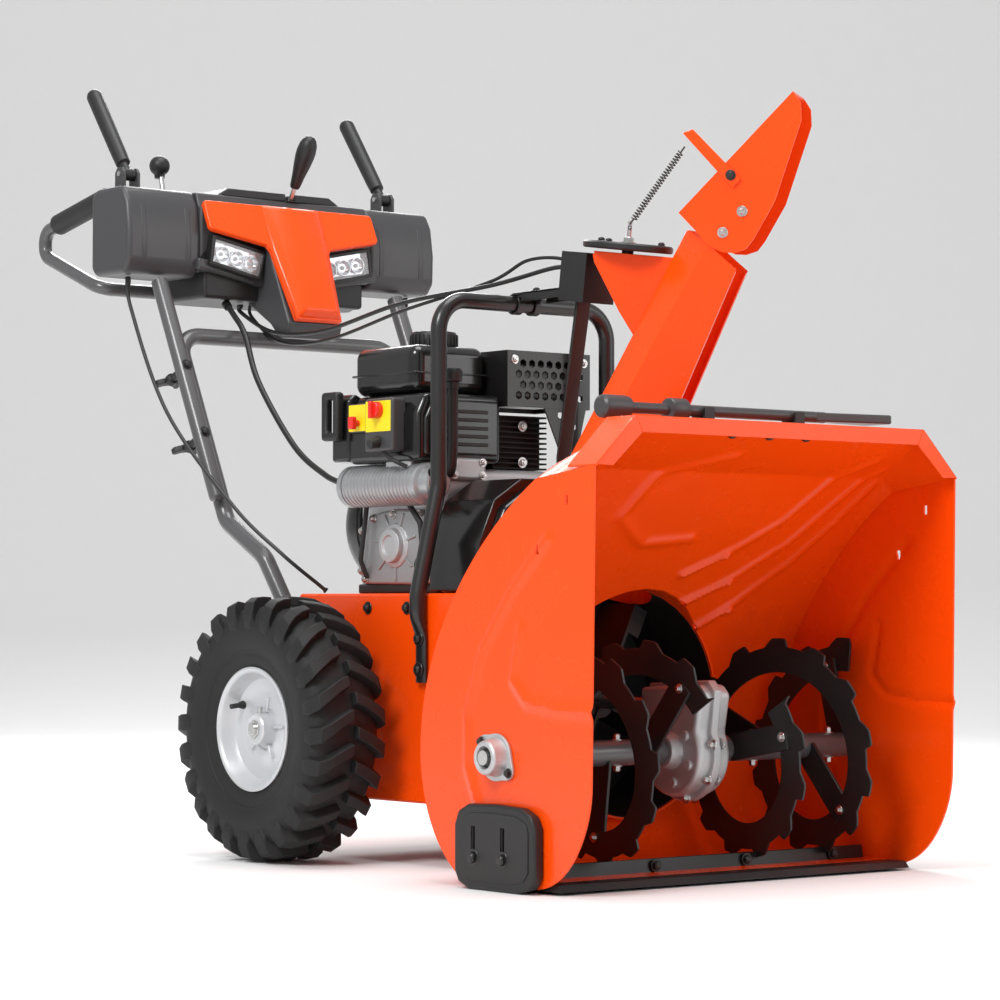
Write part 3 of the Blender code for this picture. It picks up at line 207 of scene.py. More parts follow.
def add_lathe(bm, profile, matrix, sides=48, closed=True):
    """Turns a (radius, along) profile about the matrix's own Z."""
    rings = []
    for radius, along in profile:
        if radius < 1e-6:
            rings.append([bm.verts.new(matrix @ Vector((0, 0, along)))])
            continue
        rings.append([
            bm.verts.new(matrix @ Vector((radius * math.cos(t), radius * math.sin(t), along)))
            for t in (2 * math.pi * k / sides for k in range(sides))
        ])
    following = rings[1:] + rings[:1] if closed else rings[1:]
    for one, two in zip(rings, following):
        if len(one) == 1 and len(two) == 1:
            continue
        for k in range(sides):
            nxt = (k + 1) % sides
            corners = [one[k % len(one)], one[nxt % len(one)], two[nxt % len(two)], two[k % len(two)]]
            bm.faces.new(list(dict.fromkeys(corners)))


def along_axis(axis, centre=(0, 0, 0)):
    """A matrix whose Z is a world axis or a given direction."""
    direction = {"X": Vector((1, 0, 0)), "Y": Vector((0, 1, 0)), "Z": Vector((0, 0, 1))}.get(axis, None)
    if direction is None:
        direction = Vector(axis).normalized()
    return Matrix.Translation(Vector(centre)) @ direction.to_track_quat("Z", "Y").to_matrix().to_4x4()


def make(name, material, body, build, replaces=(), **edges):
    """A piece whose geometry a function adds to an empty mesh."""
    bm = bmesh.new()
    build(bm)
    return finish(name, mesh_of(name, bm), material, body, replaces, **edges)


def rounded_box(name, low, high, material, body, radius=0.004, segments=3, replaces=(), matrix=None):
    return make(name, material, body, lambda bm: add_box(bm, low, high, matrix), replaces,
                bevel=radius, segments=segments)


def prism(name, outline, axis, low, high, material, body, radius=0.002, segments=2, replaces=(), matrix=None):
    return make(name, material, body, lambda bm: add_prism(bm, outline, axis, low, high, matrix), replaces,
                bevel=radius, segments=segments)


def lathe(name, profile, axis, centre, material, body, replaces=(), sides=64, bevel=0.0, matrix=None):
    place = along_axis(axis, centre)
    if matrix is not None:
        place = matrix @ place
    return make(name, material, body, lambda bm: add_lathe(bm, profile, place, sides), replaces, bevel=bevel)


def corner_arc(before, corner, after, radius, steps):
    to_before, to_after = (before - corner).normalized(), (after - corner).normalized()
    half = to_before.angle(to_after) / 2
    reach = min(radius / math.tan(half), (before - corner).length * 0.49, (after - corner).length * 0.49)
    radius = reach * math.tan(half)
    middle = corner + (to_before + to_after).normalized() * (radius / math.sin(half))
    first, last = corner + to_before * reach - middle, corner + to_after * reach - middle
    return [middle + first.slerp(last, k / steps).normalized() * radius for k in range(steps + 1)]


def bent(corners, radius, steps=10):
    corners = [Vector(c) for c in corners]
    path = [corners[0]]
    for before, corner, after in zip(corners, corners[1:], corners[2:]):
        path += corner_arc(before, corner, after, radius, steps)
    return path + [corners[-1]]


def smooth_route(points, per_span=8):
    points = [Vector(p) for p in points]
    ends = [points[0] * 2 - points[1]] + points + [points[-1] * 2 - points[-2]]
    route = []
    for a, b, c, d in zip(ends, ends[1:], ends[2:], ends[3:]):
        for k in range(per_span):
            t = k / per_span
            route.append(0.5 * (2 * b + (c - a) * t + (2 * a - 5 * b + 4 * c - d) * t**2
                                + (3 * b - a - 3 * c + d) * t**3))
    return route + [points[-1]]


def add_sweep(bm, path, radius, sides=20, squash=None):
    """A round tube along a path; squash gives a height factor for each point, for a flattened end."""
    path = [Vector(p) for p in path]
    tangents = [(b - a).normalized() for a, b in zip(path, path[1:])]
    tangents = [tangents[0]] + [(a + b).normalized() for a, b in zip(tangents, tangents[1:])] + [tangents[-1]]
    side = tangents[0].orthogonal().normalized()
    rings = []
    for index, (point, tangent) in enumerate(zip(path, tangents)):
        side = (side - tangent * side.dot(tangent)).normalized()
        up = tangent.cross(side)
        factor = squash[index] if squash else 1.0
        rings.append([
            bm.verts.new(point + side * radius * math.cos(t) + up * radius * factor * math.sin(t))
            for t in (2 * math.pi * k / sides for k in range(sides))
        ])
    for one, two in zip(rings, rings[1:]):
        for k in range(sides):
            bm.faces.new((one[k], one[(k + 1) % sides], two[(k + 1) % sides], two[k]))
    bm.faces.new(list(reversed(rings[0])))
    bm.faces.new(rings[-1])


def tube(name, path, radius, material, body, replaces=(), sides=24):
    return make(name, material, body, lambda bm: add_sweep(bm, path, radius, sides), replaces)


def add_bolt(bm, at, out, radius=0.006, height=0.004):
    """A hex head with a washer under it, standing out of a surface."""
    at, out = Vector(at), Vector(out).normalized()
    add_rod(bm, at, at + out * 0.0015, radius * 1.45, 24)
    at = at + out * 0.0014
    add_rod(bm, at, at + out * height, radius, 6)
    add_rod(bm, at + out * (height - 0.0002), at + out * (height + 0.0012), radius * 0.72, 16, radius * 0.55)


def bolts(name, places, radius, height, material=DARK_STEEL, body="chassis"):
    def build(bm):
        for at, out in places:
            add_bolt(bm, at, out, radius, height)
    return make(name, material, body, build, bevel=0.0004, segments=1)


def baked(obj, angle):
    """Makes what an object's shown modifiers give its own mesh."""
    bpy.context.view_layer.update()
    result = bpy.data.meshes.new_from_object(obj.evaluated_get(bpy.context.evaluated_depsgraph_get()))
    result.materials.clear()
    for material in obj.data.materials:
        result.materials.append(material)
    obj.data = result
    result.shade_smooth()
    result.set_sharp_from_angle(angle=math.radians(angle))


def cut(obj, build, operation="DIFFERENCE"):
    """Cuts a piece, ahead of its bevel, by the shape that a function builds."""
    bm = bmesh.new()
    build(bm)
    cutter = bpy.data.objects.new("cutter", mesh_of("cutter", bm))
    bpy.context.scene.collection.objects.link(cutter)
    step = obj.modifiers.new("cut", "BOOLEAN")
    step.operation, step.solver, step.object = operation, "EXACT", cutter
    if len(obj.modifiers) > 1:
        obj.modifiers.move(len(obj.modifiers) - 1, 0)
    for modifier in obj.modifiers:
        modifier.show_viewport = modifier == step
    baked(obj, 32)
    obj.modifiers.remove(step)
    for modifier in obj.modifiers:
        modifier.show_viewport = True
    bpy.data.objects.remove(cutter)


def bezier(p0, p1, p2, p3, steps):
    points = []
    for k in range(steps):
        t = k / steps
        s = 1 - t
        weights = (s**3, 3 * s * s * t, 3 * s * t * t, t**3)
        points.append(tuple(sum(w * p[i] for w, p in zip(weights, (p0, p1, p2, p3))) for i in (0, 1)))
    return points


def ridge(a, b, lines):
    """How high pressed ribs stand at a point, from polylines of ((a, b), ...) with a width and a height."""
    height = 0.0
    for points, width, rise in lines:
        nearest = 1e9
        for (a0, b0), (a1, b1) in zip(points, points[1:]):
            da, db = a1 - a0, b1 - b0
            t = max(0.0, min(1.0, ((a - a0) * da + (b - b0) * db) / (da * da + db * db)))
            nearest = min(nearest, math.hypot(a - a0 - t * da, b - b0 - t * db))
        height += rise * math.exp(-((nearest / width) ** 2))
    return height


# ---- auger housing -----------------------------------------------------------------------------------
def housing_curve(steps, inset=0.0):
    back = bezier((-0.603, 0.512), (-0.504, 0.455), (-0.371, 0.33), (-0.371, 0.17), steps * 2)
    under = bezier((-0.371, 0.17), (-0.371, 0.09), (-0.414, 0.03), (-0.464, 0.0065), steps)
    points = back + under + [(-0.464, 0.0065)]
    moved = []
    for index, (y, z) in enumerate(points):
        fade = min(1.0, index / (len(points) / 4))
        away = Vector((AUGER_Y - y, AUGER_Z - z)).normalized() * inset * fade
        moved.append((y + away.x, z + away.y))
    return moved


PLATE_RIBS = (
    (((-0.628, 0.44), (-0.558, 0.374), (-0.5, 0.3), (-0.47, 0.22), (-0.47, 0.15), (-0.49, 0.105)),
     0.006, 0.0042),
    (((-0.575, 0.33), (-0.56, 0.262), (-0.587, 0.236), (-0.64, 0.229), (-0.73, 0.226)), 0.0055, 0.0038),
)
WRAP_RIBS = (
    (((0.045, 0.29), (0.1, 0.252)), 0.0055, 0.0055),
    (((0.07, 0.34), (0.135, 0.3)), 0.0055, 0.0055),
    (((0.085, 0.397), (0.16, 0.347)), 0.0055, 0.0055),
    (((0.1, 0.252), (0.165, 0.19), (0.2, 0.12), (0.235, 0.07)), 0.0065, 0.0036),
    (((0.135, 0.3), (0.2, 0.23), (0.24, 0.15), (0.27, 0.09)), 0.0065, 0.0036),
    (((0.16, 0.347), (0.225, 0.27), (0.262, 0.19), (0.285, 0.12)), 0.007, 0.0034),
    (((-0.02, 0.07), (-0.11, 0.12), (-0.125, 0.19), (-0.06, 0.235), (0.02, 0.225)), 0.008, 0.0036),
    (((-0.25, 0.07), (-0.215, 0.13), (-0.195, 0.22), (-0.2, 0.3)), 0.007, 0.0034),
)


def embossed_plate(side, sign):
    """A side plate: a sheet with pressed ribs, trimmed to its outline."""
    lower_front = bezier((-0.609, 0.0065), (-0.669, 0.012), (-0.706, 0.08), (-0.709, 0.13), 14)
    outline = housing_curve(16) + lower_front + [(-0.709, 0.13), (-0.7155, SHOULDER_Z)]
    ys = np.linspace(-0.725, -0.365, 73)
    zs = np.linspace(0.0, 0.535, 107)
    bm = bmesh.new()
    sheets = []
    for skin in (0.0, SHEET):
        sheets.append([[
            bm.verts.new((sign * (HALF_WIDTH - SHEET + skin + ridge(y, z, PLATE_RIBS)), y, z)) for z in zs
        ] for y in ys])
    for grid in sheets:
        for one, two in zip(grid, grid[1:]):
            for k in range(len(zs) - 1):
                bm.faces.new((one[k], one[k + 1], two[k + 1], two[k]))
    low, high = sheets
    rims = ([row[0] for row in low], [row[0] for row in high]), ([row[-1] for row in low], [row[-1] for row in high]), \
        (low[0], high[0]), (low[-1], high[-1])
    for inner, outer in rims:
        for k in range(len(inner) - 1):
            bm.faces.new((inner[k], inner[k + 1], outer[k + 1], outer[k]))
    name = f"side_sheet_{side}"
    plate = finish(name, mesh_of(name, bm), ORANGE, "chassis", (f"side_plate_{side}",))
    low_x, high_x = sorted((sign * (HALF_WIDTH - 0.02), sign * (HALF_WIDTH + 0.02)))
    cut(plate, lambda bm: add_prism(bm, outline, "X", low_x, high_x), "INTERSECT")

    def slots(bm):
        for y, z in ((-0.61, 0.425), (-0.663, 0.485)):
            add_box(bm, (low_x - 0.01, y - 0.003, z - 0.006), (high_x + 0.01, y + 0.003, z + 0.006))
    cut(plate, slots)


def wrap_point(t, y, z, rise):
    """A point across the wrap at t from -1 to 1, for a station of its side curve."""
    side_x = HALF_WIDTH - SHEET - 0.0006
    half = CROWN_HALF + (0.3 - CROWN_HALF) * (1 - rise)
    crown = z + (TOP_Z - SHOULDER_Z) * rise
    across = abs(t) * side_x
    if across <= half:
        return math.copysign(across, t), crown
    share = (across - half) / (side_x - half)
    return math.copysign(across, t), crown + (z - crown) * share


def housing_wrap():
    columns = [-1 + 2 * k / WRAP_COLUMNS for k in range(WRAP_COLUMNS + 1)]
    roof = [(FRONT_Y + 0.0014 + 0.1156 * k / 30, 0.527 - 0.015 * k / 30) for k in range(30)]
    curve = housing_curve(54, 0.006)
    stations = roof + curve + [(-0.5, 0.0115), (-0.56, 0.0115), (-0.6, 0.0115)]
    bm = bmesh.new()
    rows = []
    travelled = 0.0
    for index, (y, z) in enumerate(stations):
        if index:
            travelled += math.hypot(y - stations[index - 1][0], z - stations[index - 1][1])
        ahead = stations[min(index + 1, len(stations) - 1)]
        behind = stations[max(index - 1, 0)]
        tangent = Vector((ahead[0] - behind[0], ahead[1] - behind[1])).normalized()
        inward = Vector((-tangent.y, tangent.x)) * -1.0
        rise = max(0.0, 1 - (y - FRONT_Y) / 0.205) ** 1.5 if z > AUGER_Z else 0.0
        row = []
        for t in columns:
            x, height = wrap_point(t, y, z, rise)
            lift = -ridge(x, travelled, WRAP_RIBS) if abs(x) < 0.3 else 0.0
            row.append(bm.verts.new((x, y - inward.x * lift, height - inward.y * lift)))
        rows.append(row)
    for one, two in zip(rows, rows[1:]):
        for k in range(len(columns) - 1):
            bm.faces.new((one[k], two[k], two[k + 1], one[k + 1]))
    wrap = finish("wrap_sheet", mesh_of("wrap_sheet", bm), ORANGE, "chassis", ("housing_wrap",))
    thick = wrap.modifiers.new("sheet", "SOLIDIFY")
    thick.thickness = 0.0025
    thick.offset = 0.0
    hole = bmesh.new()
    add_rod(hole, (0, -0.52, IMPELLER_Z), (0, -0.3, IMPELLER_Z), DRUM_RADIUS, 96)
    mouth = wrap.modifiers.new("mouth", "BOOLEAN")
    cutter = bpy.data.objects.new("mouth_cutter", mesh_of("mouth_cutter", hole))
    bpy.context.scene.collection.objects.link(cutter)
    mouth.solver, mouth.object = "EXACT", cutter
    baked(wrap, 28)
    wrap.modifiers.clear()
    bpy.data.objects.remove(cutter)


def front_lip():
    """The folded flange around the top of the intake, with its turned-down inner edge."""
    outer = [(-HALF_WIDTH + 0.001, SHOULDER_Z), (-CROWN_HALF, TOP_Z + 0.001), (CROWN_HALF, TOP_Z + 0.001),
             (HALF_WIDTH - 0.001, SHOULDER_Z)]
    inner = [(-HALF_WIDTH + 0.0275, SHOULDER_Z - 0.001), (-CROWN_HALF + 0.0115, TOP_Z - LIP),
             (CROWN_HALF - 0.0115, TOP_Z - LIP), (HALF_WIDTH - 0.0275, SHOULDER_Z - 0.001)]

    def build(bm):
        for k in range(3):
            quad = [outer[k], outer[k + 1], inner[k + 1], inner[k]]
            add_prism(bm, quad, "Y", FRONT_Y, FRONT_Y + 0.003)
        for k in (0, 2):
            a, b = outer[k], outer[k + 1]
            add_prism(bm, [a, b, (b[0], b[1] - 0.0025), (a[0], a[1] - 0.0025)], "Y", FRONT_Y, FRONT_Y + 0.055)

    make("intake_lip", ORANGE, "chassis", build, bevel=0.0008, segments=2)
    places = [((x, -0.694, TOP_Z - 0.0135), (0, 0, -1)) for x in (-0.07, -0.005, 0.06)]
    bolts("roof_bolts", places, 0.0055, 0.005)


def scraper():
    edge = [(-0.64, 0.0035), (-0.545, 0.0035), (-0.545, 0.0125), (-0.632, 0.0125)]
    prism("scraper_blade", edge, "X", -0.306, 0.306, BLACK_STEEL, "chassis", 0.0008)
    back = [(-0.56, 0.006), (-0.556, 0.03), (-0.553, 0.03), (-0.553, 0.006)]
    prism("scraper_flange", back, "X", -0.3, 0.3, BLACK_STEEL, "chassis", 0.0008)
    bolts("scraper_bolts", [((x, -0.56, 0.021), (0, -1, 0)) for x in (-0.24, -0.08, 0.08, 0.24)], 0.006, 0.004)


def auger_bearings():
    for side, sign in SIDES:
        x = sign * HALF_WIDTH
        place = along_axis((sign, 0, 0), (x + sign * 0.0008, AUGER_Y, AUGER_Z))

        def build(bm, place=place, sign=sign, x=x):
            flange = []
            for k in range(36):
                t = 2 * math.pi * k / 36
                stretch = 0.03 + 0.01 * max(0.0, math.cos(2 * (t - math.radians(35)))) ** 3
                flange.append((AUGER_Y + stretch * math.cos(t), AUGER_Z + stretch * math.sin(t)))
            low, high = sorted((x + sign * 0.0006, x + sign * 0.0045))
            add_prism(bm, flange, "X", low, high)
            add_lathe(bm, [(0.0125, 0.002), (0.0255, 0.002), (0.0235, 0.008), (0.0215, 0.02), (0.019, 0.0225),
                           (0.015, 0.0225), (0.0138, 0.02), (0.0125, 0.012)], place, 48)
        make(f"bearing_flange_{side}", CASTING, "chassis", build, bevel=0.0007)
        lathe(f"bearing_race_{side}", [(0.0, 0.01), (0.0126, 0.01), (0.0126, 0.0165), (0.01, 0.0175),
                                       (0.0, 0.0175)], (sign, 0, 0), (x, AUGER_Y, AUGER_Z), DARK_STEEL, "chassis")
        for index, angle in enumerate((35, 215)):
            t = math.radians(angle)
            at = (x + sign * 0.0045, AUGER_Y + 0.033 * math.cos(t), AUGER_Z + 0.033 * math.sin(t))
            bolts(f"bearing_bolt_{side}_{index}", [(at, (sign, 0, 0))], 0.0045, 0.004)


def skids():
    outline = [(-0.462, 0.08), (-0.47, 0.098), (-0.49, 0.107), (-0.54, 0.1085), (-0.594, 0.106), (-0.614, 0.097),
               (-0.622, 0.082), (-0.622, 0.02), (-0.612, 0.007), (-0.588, 0.0004), (-0.49, 0.0004),
               (-0.47, 0.008), (-0.462, 0.022)]
    for side, sign in SIDES:
        body = f"skid_{side}"
        low, high = sorted((sign * (HALF_WIDTH + 0.0008), sign * (HALF_WIDTH + 0.0165)))
        shoe = prism(f"skid_{side}_shoe", outline, "X", low, high, BLACK_PLASTIC, body, 0.0045, 4,
                     (f"skid_shoe_{side}",))

        def slots(bm, low=low, high=high):
            for y in SKID_SLOTS:
                add_box(bm, (low - 0.02, y - 0.004, 0.036), (high + 0.02, y + 0.004, 0.08))
        cut(shoe, slots)
        x = sign * (HALF_WIDTH + 0.0168)
        bolts(f"skid_{side}_nuts", [((x, y, 0.0405), (sign, 0, 0)) for y in SKID_SLOTS], 0.0075, 0.004)
        border = [(y * 0.86 - 0.0755, z * 0.8 + 0.011) for y, z in outline]
        rib_low, rib_high = sorted((sign * (HALF_WIDTH + 0.016), sign * (HALF_WIDTH + 0.0178)))
        raised = prism(f"skid_{side}_panel", border, "X", rib_low, rib_high, BLACK_PLASTIC, body, 0.0012, 2)
        cut(raised, slots)


# ---- augers, gearbox, impeller -----------------------------------------------------------------------
def tooth(turn):
    """How deep the ribbon's saw-cut edge is at a share of a tooth."""
    share = turn % 1.0
    if share < 0.07:
        return share / 0.07
    if share < 0.48:
        return 1.0
    return max(0.0, 1 - (share - 0.48) / 0.22)


def ribbon_angle(sign, t):
    return sign * 2 * math.pi * RIBBON_TURNS * t + math.radians(150)


def ribbon_x(t):
    return RIBBON_START + (RIBBON_END - RIBBON_START) * t


def add_ribbon(bm, sign):
    steps, half_sheet, teeth = 900, 0.0017, 13 * RIBBON_TURNS
    rings = []
    for k in range(steps + 1):
        t = k / steps
        x = ribbon_x(t)
        angle = ribbon_angle(sign, t)
        outer = AUGER_RADIUS - 0.0115 * tooth(t * teeth)
        rings.append([
            bm.verts.new((sign * (x + shift), AUGER_Y + r * math.cos(angle), AUGER_Z + r * math.sin(angle)))
            for r, shift in ((outer, -half_sheet), (outer, half_sheet), (AUGER_RADIUS - RIBBON_WIDTH, half_sheet),
                             (AUGER_RADIUS - RIBBON_WIDTH, -half_sheet))
        ])
    for one, two in zip(rings, rings[1:]):
        for k in range(4):
            bm.faces.new((one[k], one[(k + 1) % 4], two[(k + 1) % 4], two[k]))
    bm.faces.new(rings[0])
    bm.faces.new(list(reversed(rings[-1])))


def augers():
    for side, sign in SIDES:
        def arms(bm, sign=sign):
            for t in ARM_PLACES:
                angle = ribbon_angle(sign, t)
                x = sign * ribbon_x(t)
                place = Matrix.Translation((x, AUGER_Y, AUGER_Z)) @ Matrix.Rotation(angle - math.pi / 2, 4, "X")
                add_box(bm, (-0.0025, -0.018, 0.008), (0.0025, 0.018, AUGER_RADIUS - RIBBON_WIDTH * 0.62), place)

        def rivets(bm, sign=sign):
            for t in ARM_PLACES:
                angle = ribbon_angle(sign, t)
                x = sign * ribbon_x(t)
                reach = AUGER_RADIUS - RIBBON_WIDTH * 0.8
                at = Vector((x + 0.0026, AUGER_Y + reach * math.cos(angle), AUGER_Z + reach * math.sin(angle)))
                add_bolt(bm, at, (1, 0, 0), 0.0045, 0.003)
                add_bolt(bm, at - Vector((0.0052, 0, 0)), (-1, 0, 0), 0.0045, 0.003)
            for x in (0.12, 0.262):
                for out in (1, -1):
                    at = (sign * x, AUGER_Y, AUGER_Z + out * 0.016)
                    add_bolt(bm, at, (0, 0, out), 0.005, 0.006)

        make(f"auger_{side}_ribbon", BLACK_STEEL, "augers",
             lambda bm, sign=sign: add_ribbon(bm, sign), (f"auger_{side}",), bevel=0.0004, segments=1)
        make(f"auger_{side}_arms", BLACK_STEEL, "augers", arms, bevel=0.0012)
        make(f"auger_{side}_bolts", STEEL, "augers", rivets, bevel=0.0003, segments=1)
        low, high = sorted((sign * 0.046, sign * 0.302))
        profile = [(0.01, low), (0.0165, low), (0.017, low + 0.001), (0.017, high - 0.001), (0.0165, high),
                   (0.01, high)]
        lathe(f"auger_{side}_tube", profile, "X", (0, AUGER_Y, AUGER_Z), GUNMETAL, "augers")


def auger_gearbox():
    """Two cast shells bolted together on the middle plane."""
    outline = []
    for k in range(37):
        angle = math.radians(150 + 240 * k / 36)
        outline.append((AUGER_Y + 0.056 * math.cos(angle), AUGER_Z - 0.004 + 0.056 * math.sin(angle)))
    outline += [(AUGER_Y + 0.06, 0.222), (AUGER_Y + 0.06, 0.248), (AUGER_Y - 0.046, 0.253),
                (AUGER_Y - 0.058, 0.24)]
    flange = []
    for y, z in outline:
        away = Vector((y - AUGER_Y, z - AUGER_Z - 0.02)).normalized() * 0.007
        flange.append((y + away.x, z + away.y))
    prism("gearbox_shell", outline, "X", -0.028, 0.028, CASTING, "chassis", 0.009, 5, ("auger_gearbox",))
    prism("gearbox_flange", flange, "X", -0.0065, 0.0065, CASTING, "chassis", 0.0018, 2)
    for side, sign in SIDES:
        lathe(f"gearbox_boss_{side}", [(0.0101, 0.022), (0.027, 0.022), (0.024, 0.032), (0.0215, 0.044),
                                       (0.0101, 0.044)], (sign, 0, 0), (0, AUGER_Y, AUGER_Z), CASTING, "chassis",
              bevel=0.0006)

        def build(bm, sign=sign):
            for k in range(6):
                t = math.radians(60 * k + 20)
                y, z = AUGER_Y + 0.038 * math.cos(t), AUGER_Z - 0.004 + 0.038 * math.sin(t)
                add_rod(bm, (sign * 0.022, y, z), (sign * 0.032, y, z), 0.0085, 20, 0.0065)
        make(f"gearbox_pads_{side}", CASTING, "chassis", build, bevel=0.0012)
    places = []
    for angle in (170, 215, 262, 310, 352, 20, 62, 118):
        t = math.radians(angle)
        y, z = AUGER_Y + 0.059 * math.cos(t), AUGER_Z - 0.001 + 0.061 * math.sin(t)
        places += [((-0.0065, y, z), (-1, 0, 0)), ((0.0065, y, z), (1, 0, 0))]
    bolts("gearbox_bolts", places, 0.0058, 0.005, STEEL)


# ---- wheels ------------------------------------------------------------------------------------------
def add_lug(bm, sign, turn, mirror):
    """A bar of tread from the middle of the tyre, over the shoulder and down its wall."""
    spine = [(0.003, 0.1715, 0.1838, 0.0, 0.009), (0.022, 0.1705, 0.1838, 0.045, 0.0095),
             (0.04, 0.164, 0.1825, 0.105, 0.0105), (0.0535, 0.156, 0.176, 0.15, 0.012),
             (0.0588, 0.143, 0.16, 0.165, 0.013), (0.0592, 0.133, 0.144, 0.168, 0.008)]
    rings = []
    for out, low, high, slant, width in spine:
        angle = turn + slant
        x = sign * TYRE_MIDDLE + mirror * out
        half = width / high
        ring = []
        for radius, side in ((low, -1), (low, 1), (high, 1), (high, -1)):
            t = angle + side * half * (1.15 if radius == low else 0.85)
            reach = x if radius == high or out < 0.05 else x - mirror * 0.006
            ring.append(bm.verts.new((reach, AXLE_Y + radius * math.cos(t), TYRE_RADIUS + radius * math.sin(t))))
        rings.append(ring)
    for one, two in zip(rings, rings[1:]):
        for k in range(4):
            bm.faces.new((one[k], one[(k + 1) % 4], two[(k + 1) % 4], two[k]))
    bm.faces.new(rings[0])
    bm.faces.new(list(reversed(rings[-1])))


def wheels():
    half_profile = [(0.0846, 0.043), (0.088, 0.0455), (0.096, 0.049), (0.106, 0.05), (0.1085, 0.0525),
                    (0.111, 0.0525), (0.113, 0.054), (0.134, 0.057), (0.148, 0.056), (0.16, 0.05),
                    (0.168, 0.038), (0.171, 0.02)]
    profile = half_profile + [(r, -x) for r, x in reversed(half_profile)]
    rim = [(0.01, -0.044), (0.024, -0.044), (0.024, 0.008), (0.06, 0.01), (0.07, -0.044),
           (0.0838, -0.046), (0.0838, 0.043), (0.0862, 0.0452), (0.0862, 0.0475), (0.0835, 0.049),
           (0.08, 0.0475), (0.0775, 0.044), (0.075, 0.033), (0.07, 0.026), (0.06, 0.0225),
           (0.048, 0.0205), (0.04, 0.023), (0.03, 0.0235), (0.0275, 0.0215), (0.0245, 0.0215),
           (0.0225, 0.026), (0.0215, 0.0405), (0.0195, 0.0425), (0.013, 0.0425), (0.01, 0.041)]
    for side, sign in SIDES:
        out = (sign, 0, 0)
        centre = (sign * TYRE_MIDDLE, AXLE_Y, TYRE_RADIUS)

        def tread(bm, sign=sign, centre=centre, out=out):
            add_lathe(bm, profile, along_axis(out, centre), 120)
            for k in range(LUGS):
                for mirror, shift in ((1, 0.0), (-1, 0.5)):
                    add_lug(bm, sign, 2 * math.pi * (k + shift) / LUGS, mirror)

        make(f"tyre_{side}_tread", RUBBER, "wheels", tread, (f"tyre_{side}",), bevel=0.0011, segments=2)
        lathe(f"rim_{side}_disc", rim, out, centre, SILVER, "wheels", (f"rim_{side}",), 96)
        stem = along_axis(out, centre) @ Matrix.Rotation(math.radians(150), 4, "Z")

        def valve(bm, stem=stem):
            foot, top = stem @ Vector((0.064, 0, 0.0225)), stem @ Vector((0.06, 0, 0.046))
            add_rod(bm, foot, foot.lerp(top, 0.35), 0.0065, 20, 0.0042)
            add_rod(bm, foot.lerp(top, 0.3), top, 0.0036, 16)
        make(f"valve_{side}", GRIP_RUBBER, "wheels", valve)

        def hub(bm, centre=centre, sign=sign, out=out):
            add_rod(bm, Vector(centre) + Vector(out) * 0.04, Vector(centre) + Vector(out) * 0.0445, 0.013, 6)
            add_rod(bm, Vector(centre) + Vector(out) * 0.044, Vector(centre) + Vector(out) * 0.048, 0.008, 24)
            start = Vector(centre) + Vector(out) * 0.033 + Vector((0, 0, 0.021))
            add_rod(bm, start, start + Vector((0, 0, 0.01)), 0.0035, 12)
        make(f"hub_nut_{side}", STEEL, "wheels", hub, bevel=0.0006)

        def ribs(bm, stem=stem):
            for k in range(5):
                turn = stem @ Matrix.Rotation(2 * math.pi * k / 5, 4, "Z")
                add_box(bm, (0.0235, -0.0022, 0.02), (0.044, 0.0022, 0.0275), turn)
        make(f"rim_{side}_ribs", SILVER, "wheels", ribs, bevel=0.0016)


# ---- chute -------------------------------------------------------------------------------------------
def chute_frame(turn=0.0):
    """Local axes: X is the way the chute throws, Z is the axis it turns on."""
    up = Vector((0, -math.sin(CHUTE_TILT), math.cos(CHUTE_TILT)))
    ahead = Vector((0, -math.cos(CHUTE_TILT), -math.sin(CHUTE_TILT)))
    throw = Matrix.Rotation(turn, 3, up) @ ahead
    basis = Matrix((throw, up.cross(throw), up)).transposed().to_4x4()
    return Matrix.Translation(CHUTE_FOOT) @ basis


STRAIGHT, TURNED = chute_frame(), chute_frame(CHUTE_TURN)


def chute_back(height):
    return -0.071 + 0.159 * (height + 0.008) / 0.388


def chute_front(height):
    return 0.054 + 0.103 * (height - 0.006) / 0.319


def chute_shell(bm):
    """A bent sheet: two cheeks, two 45 degree facets and a back, with rolled bends and folded front edges."""
    rows = []
    for k in range(29):
        t = k / 28
        back_height = 0.0095 + t * (0.372 - 0.0095)
        front_height = 0.0095 + t * (0.325 - 0.0095)
        back, front = chute_back(back_height), chute_front(front_height)
        mid_height = (2 * back_height + front_height) / 3
        half = [(front, CHUTE_HALF, front_height), (back + 0.03, CHUTE_HALF, mid_height),
                (back, CHUTE_HALF - 0.03, back_height)]
        corners = half + [(u, -w, z) for u, w, z in reversed(half)]
        outer = bent(corners, 0.005, 5)
        middle = Vector(((front + back) / 2, 0, 0))
        inner = []
        for point in outer:
            away = Vector((point.x - middle.x, point.y, 0))
            inner.append(Vector((point.x - 0.0026 * (away.x < -0.002), point.y, point.z)) - Vector(
                (0, math.copysign(0.0026, point.y) if abs(point.y) > 0.004 else 0, 0)))
        rows.append(([bm.verts.new(TURNED @ p) for p in outer], [bm.verts.new(TURNED @ p) for p in inner]))
    count = len(rows[0][0])
    for (out_a, in_a), (out_b, in_b) in zip(rows, rows[1:]):
        for k in range(count - 1):
            bm.faces.new((out_a[k], out_b[k], out_b[k + 1], out_a[k + 1]))
            bm.faces.new((in_a[k], in_a[k + 1], in_b[k + 1], in_b[k]))
        for k in (0, count - 1):
            bm.faces.new((out_a[k], in_a[k], in_b[k], out_b[k]))
    for outer, inner in (rows[0], rows[-1]):
        for k in range(count - 1):
            bm.faces.new((outer[k], outer[k + 1], inner[k + 1], inner[k]))


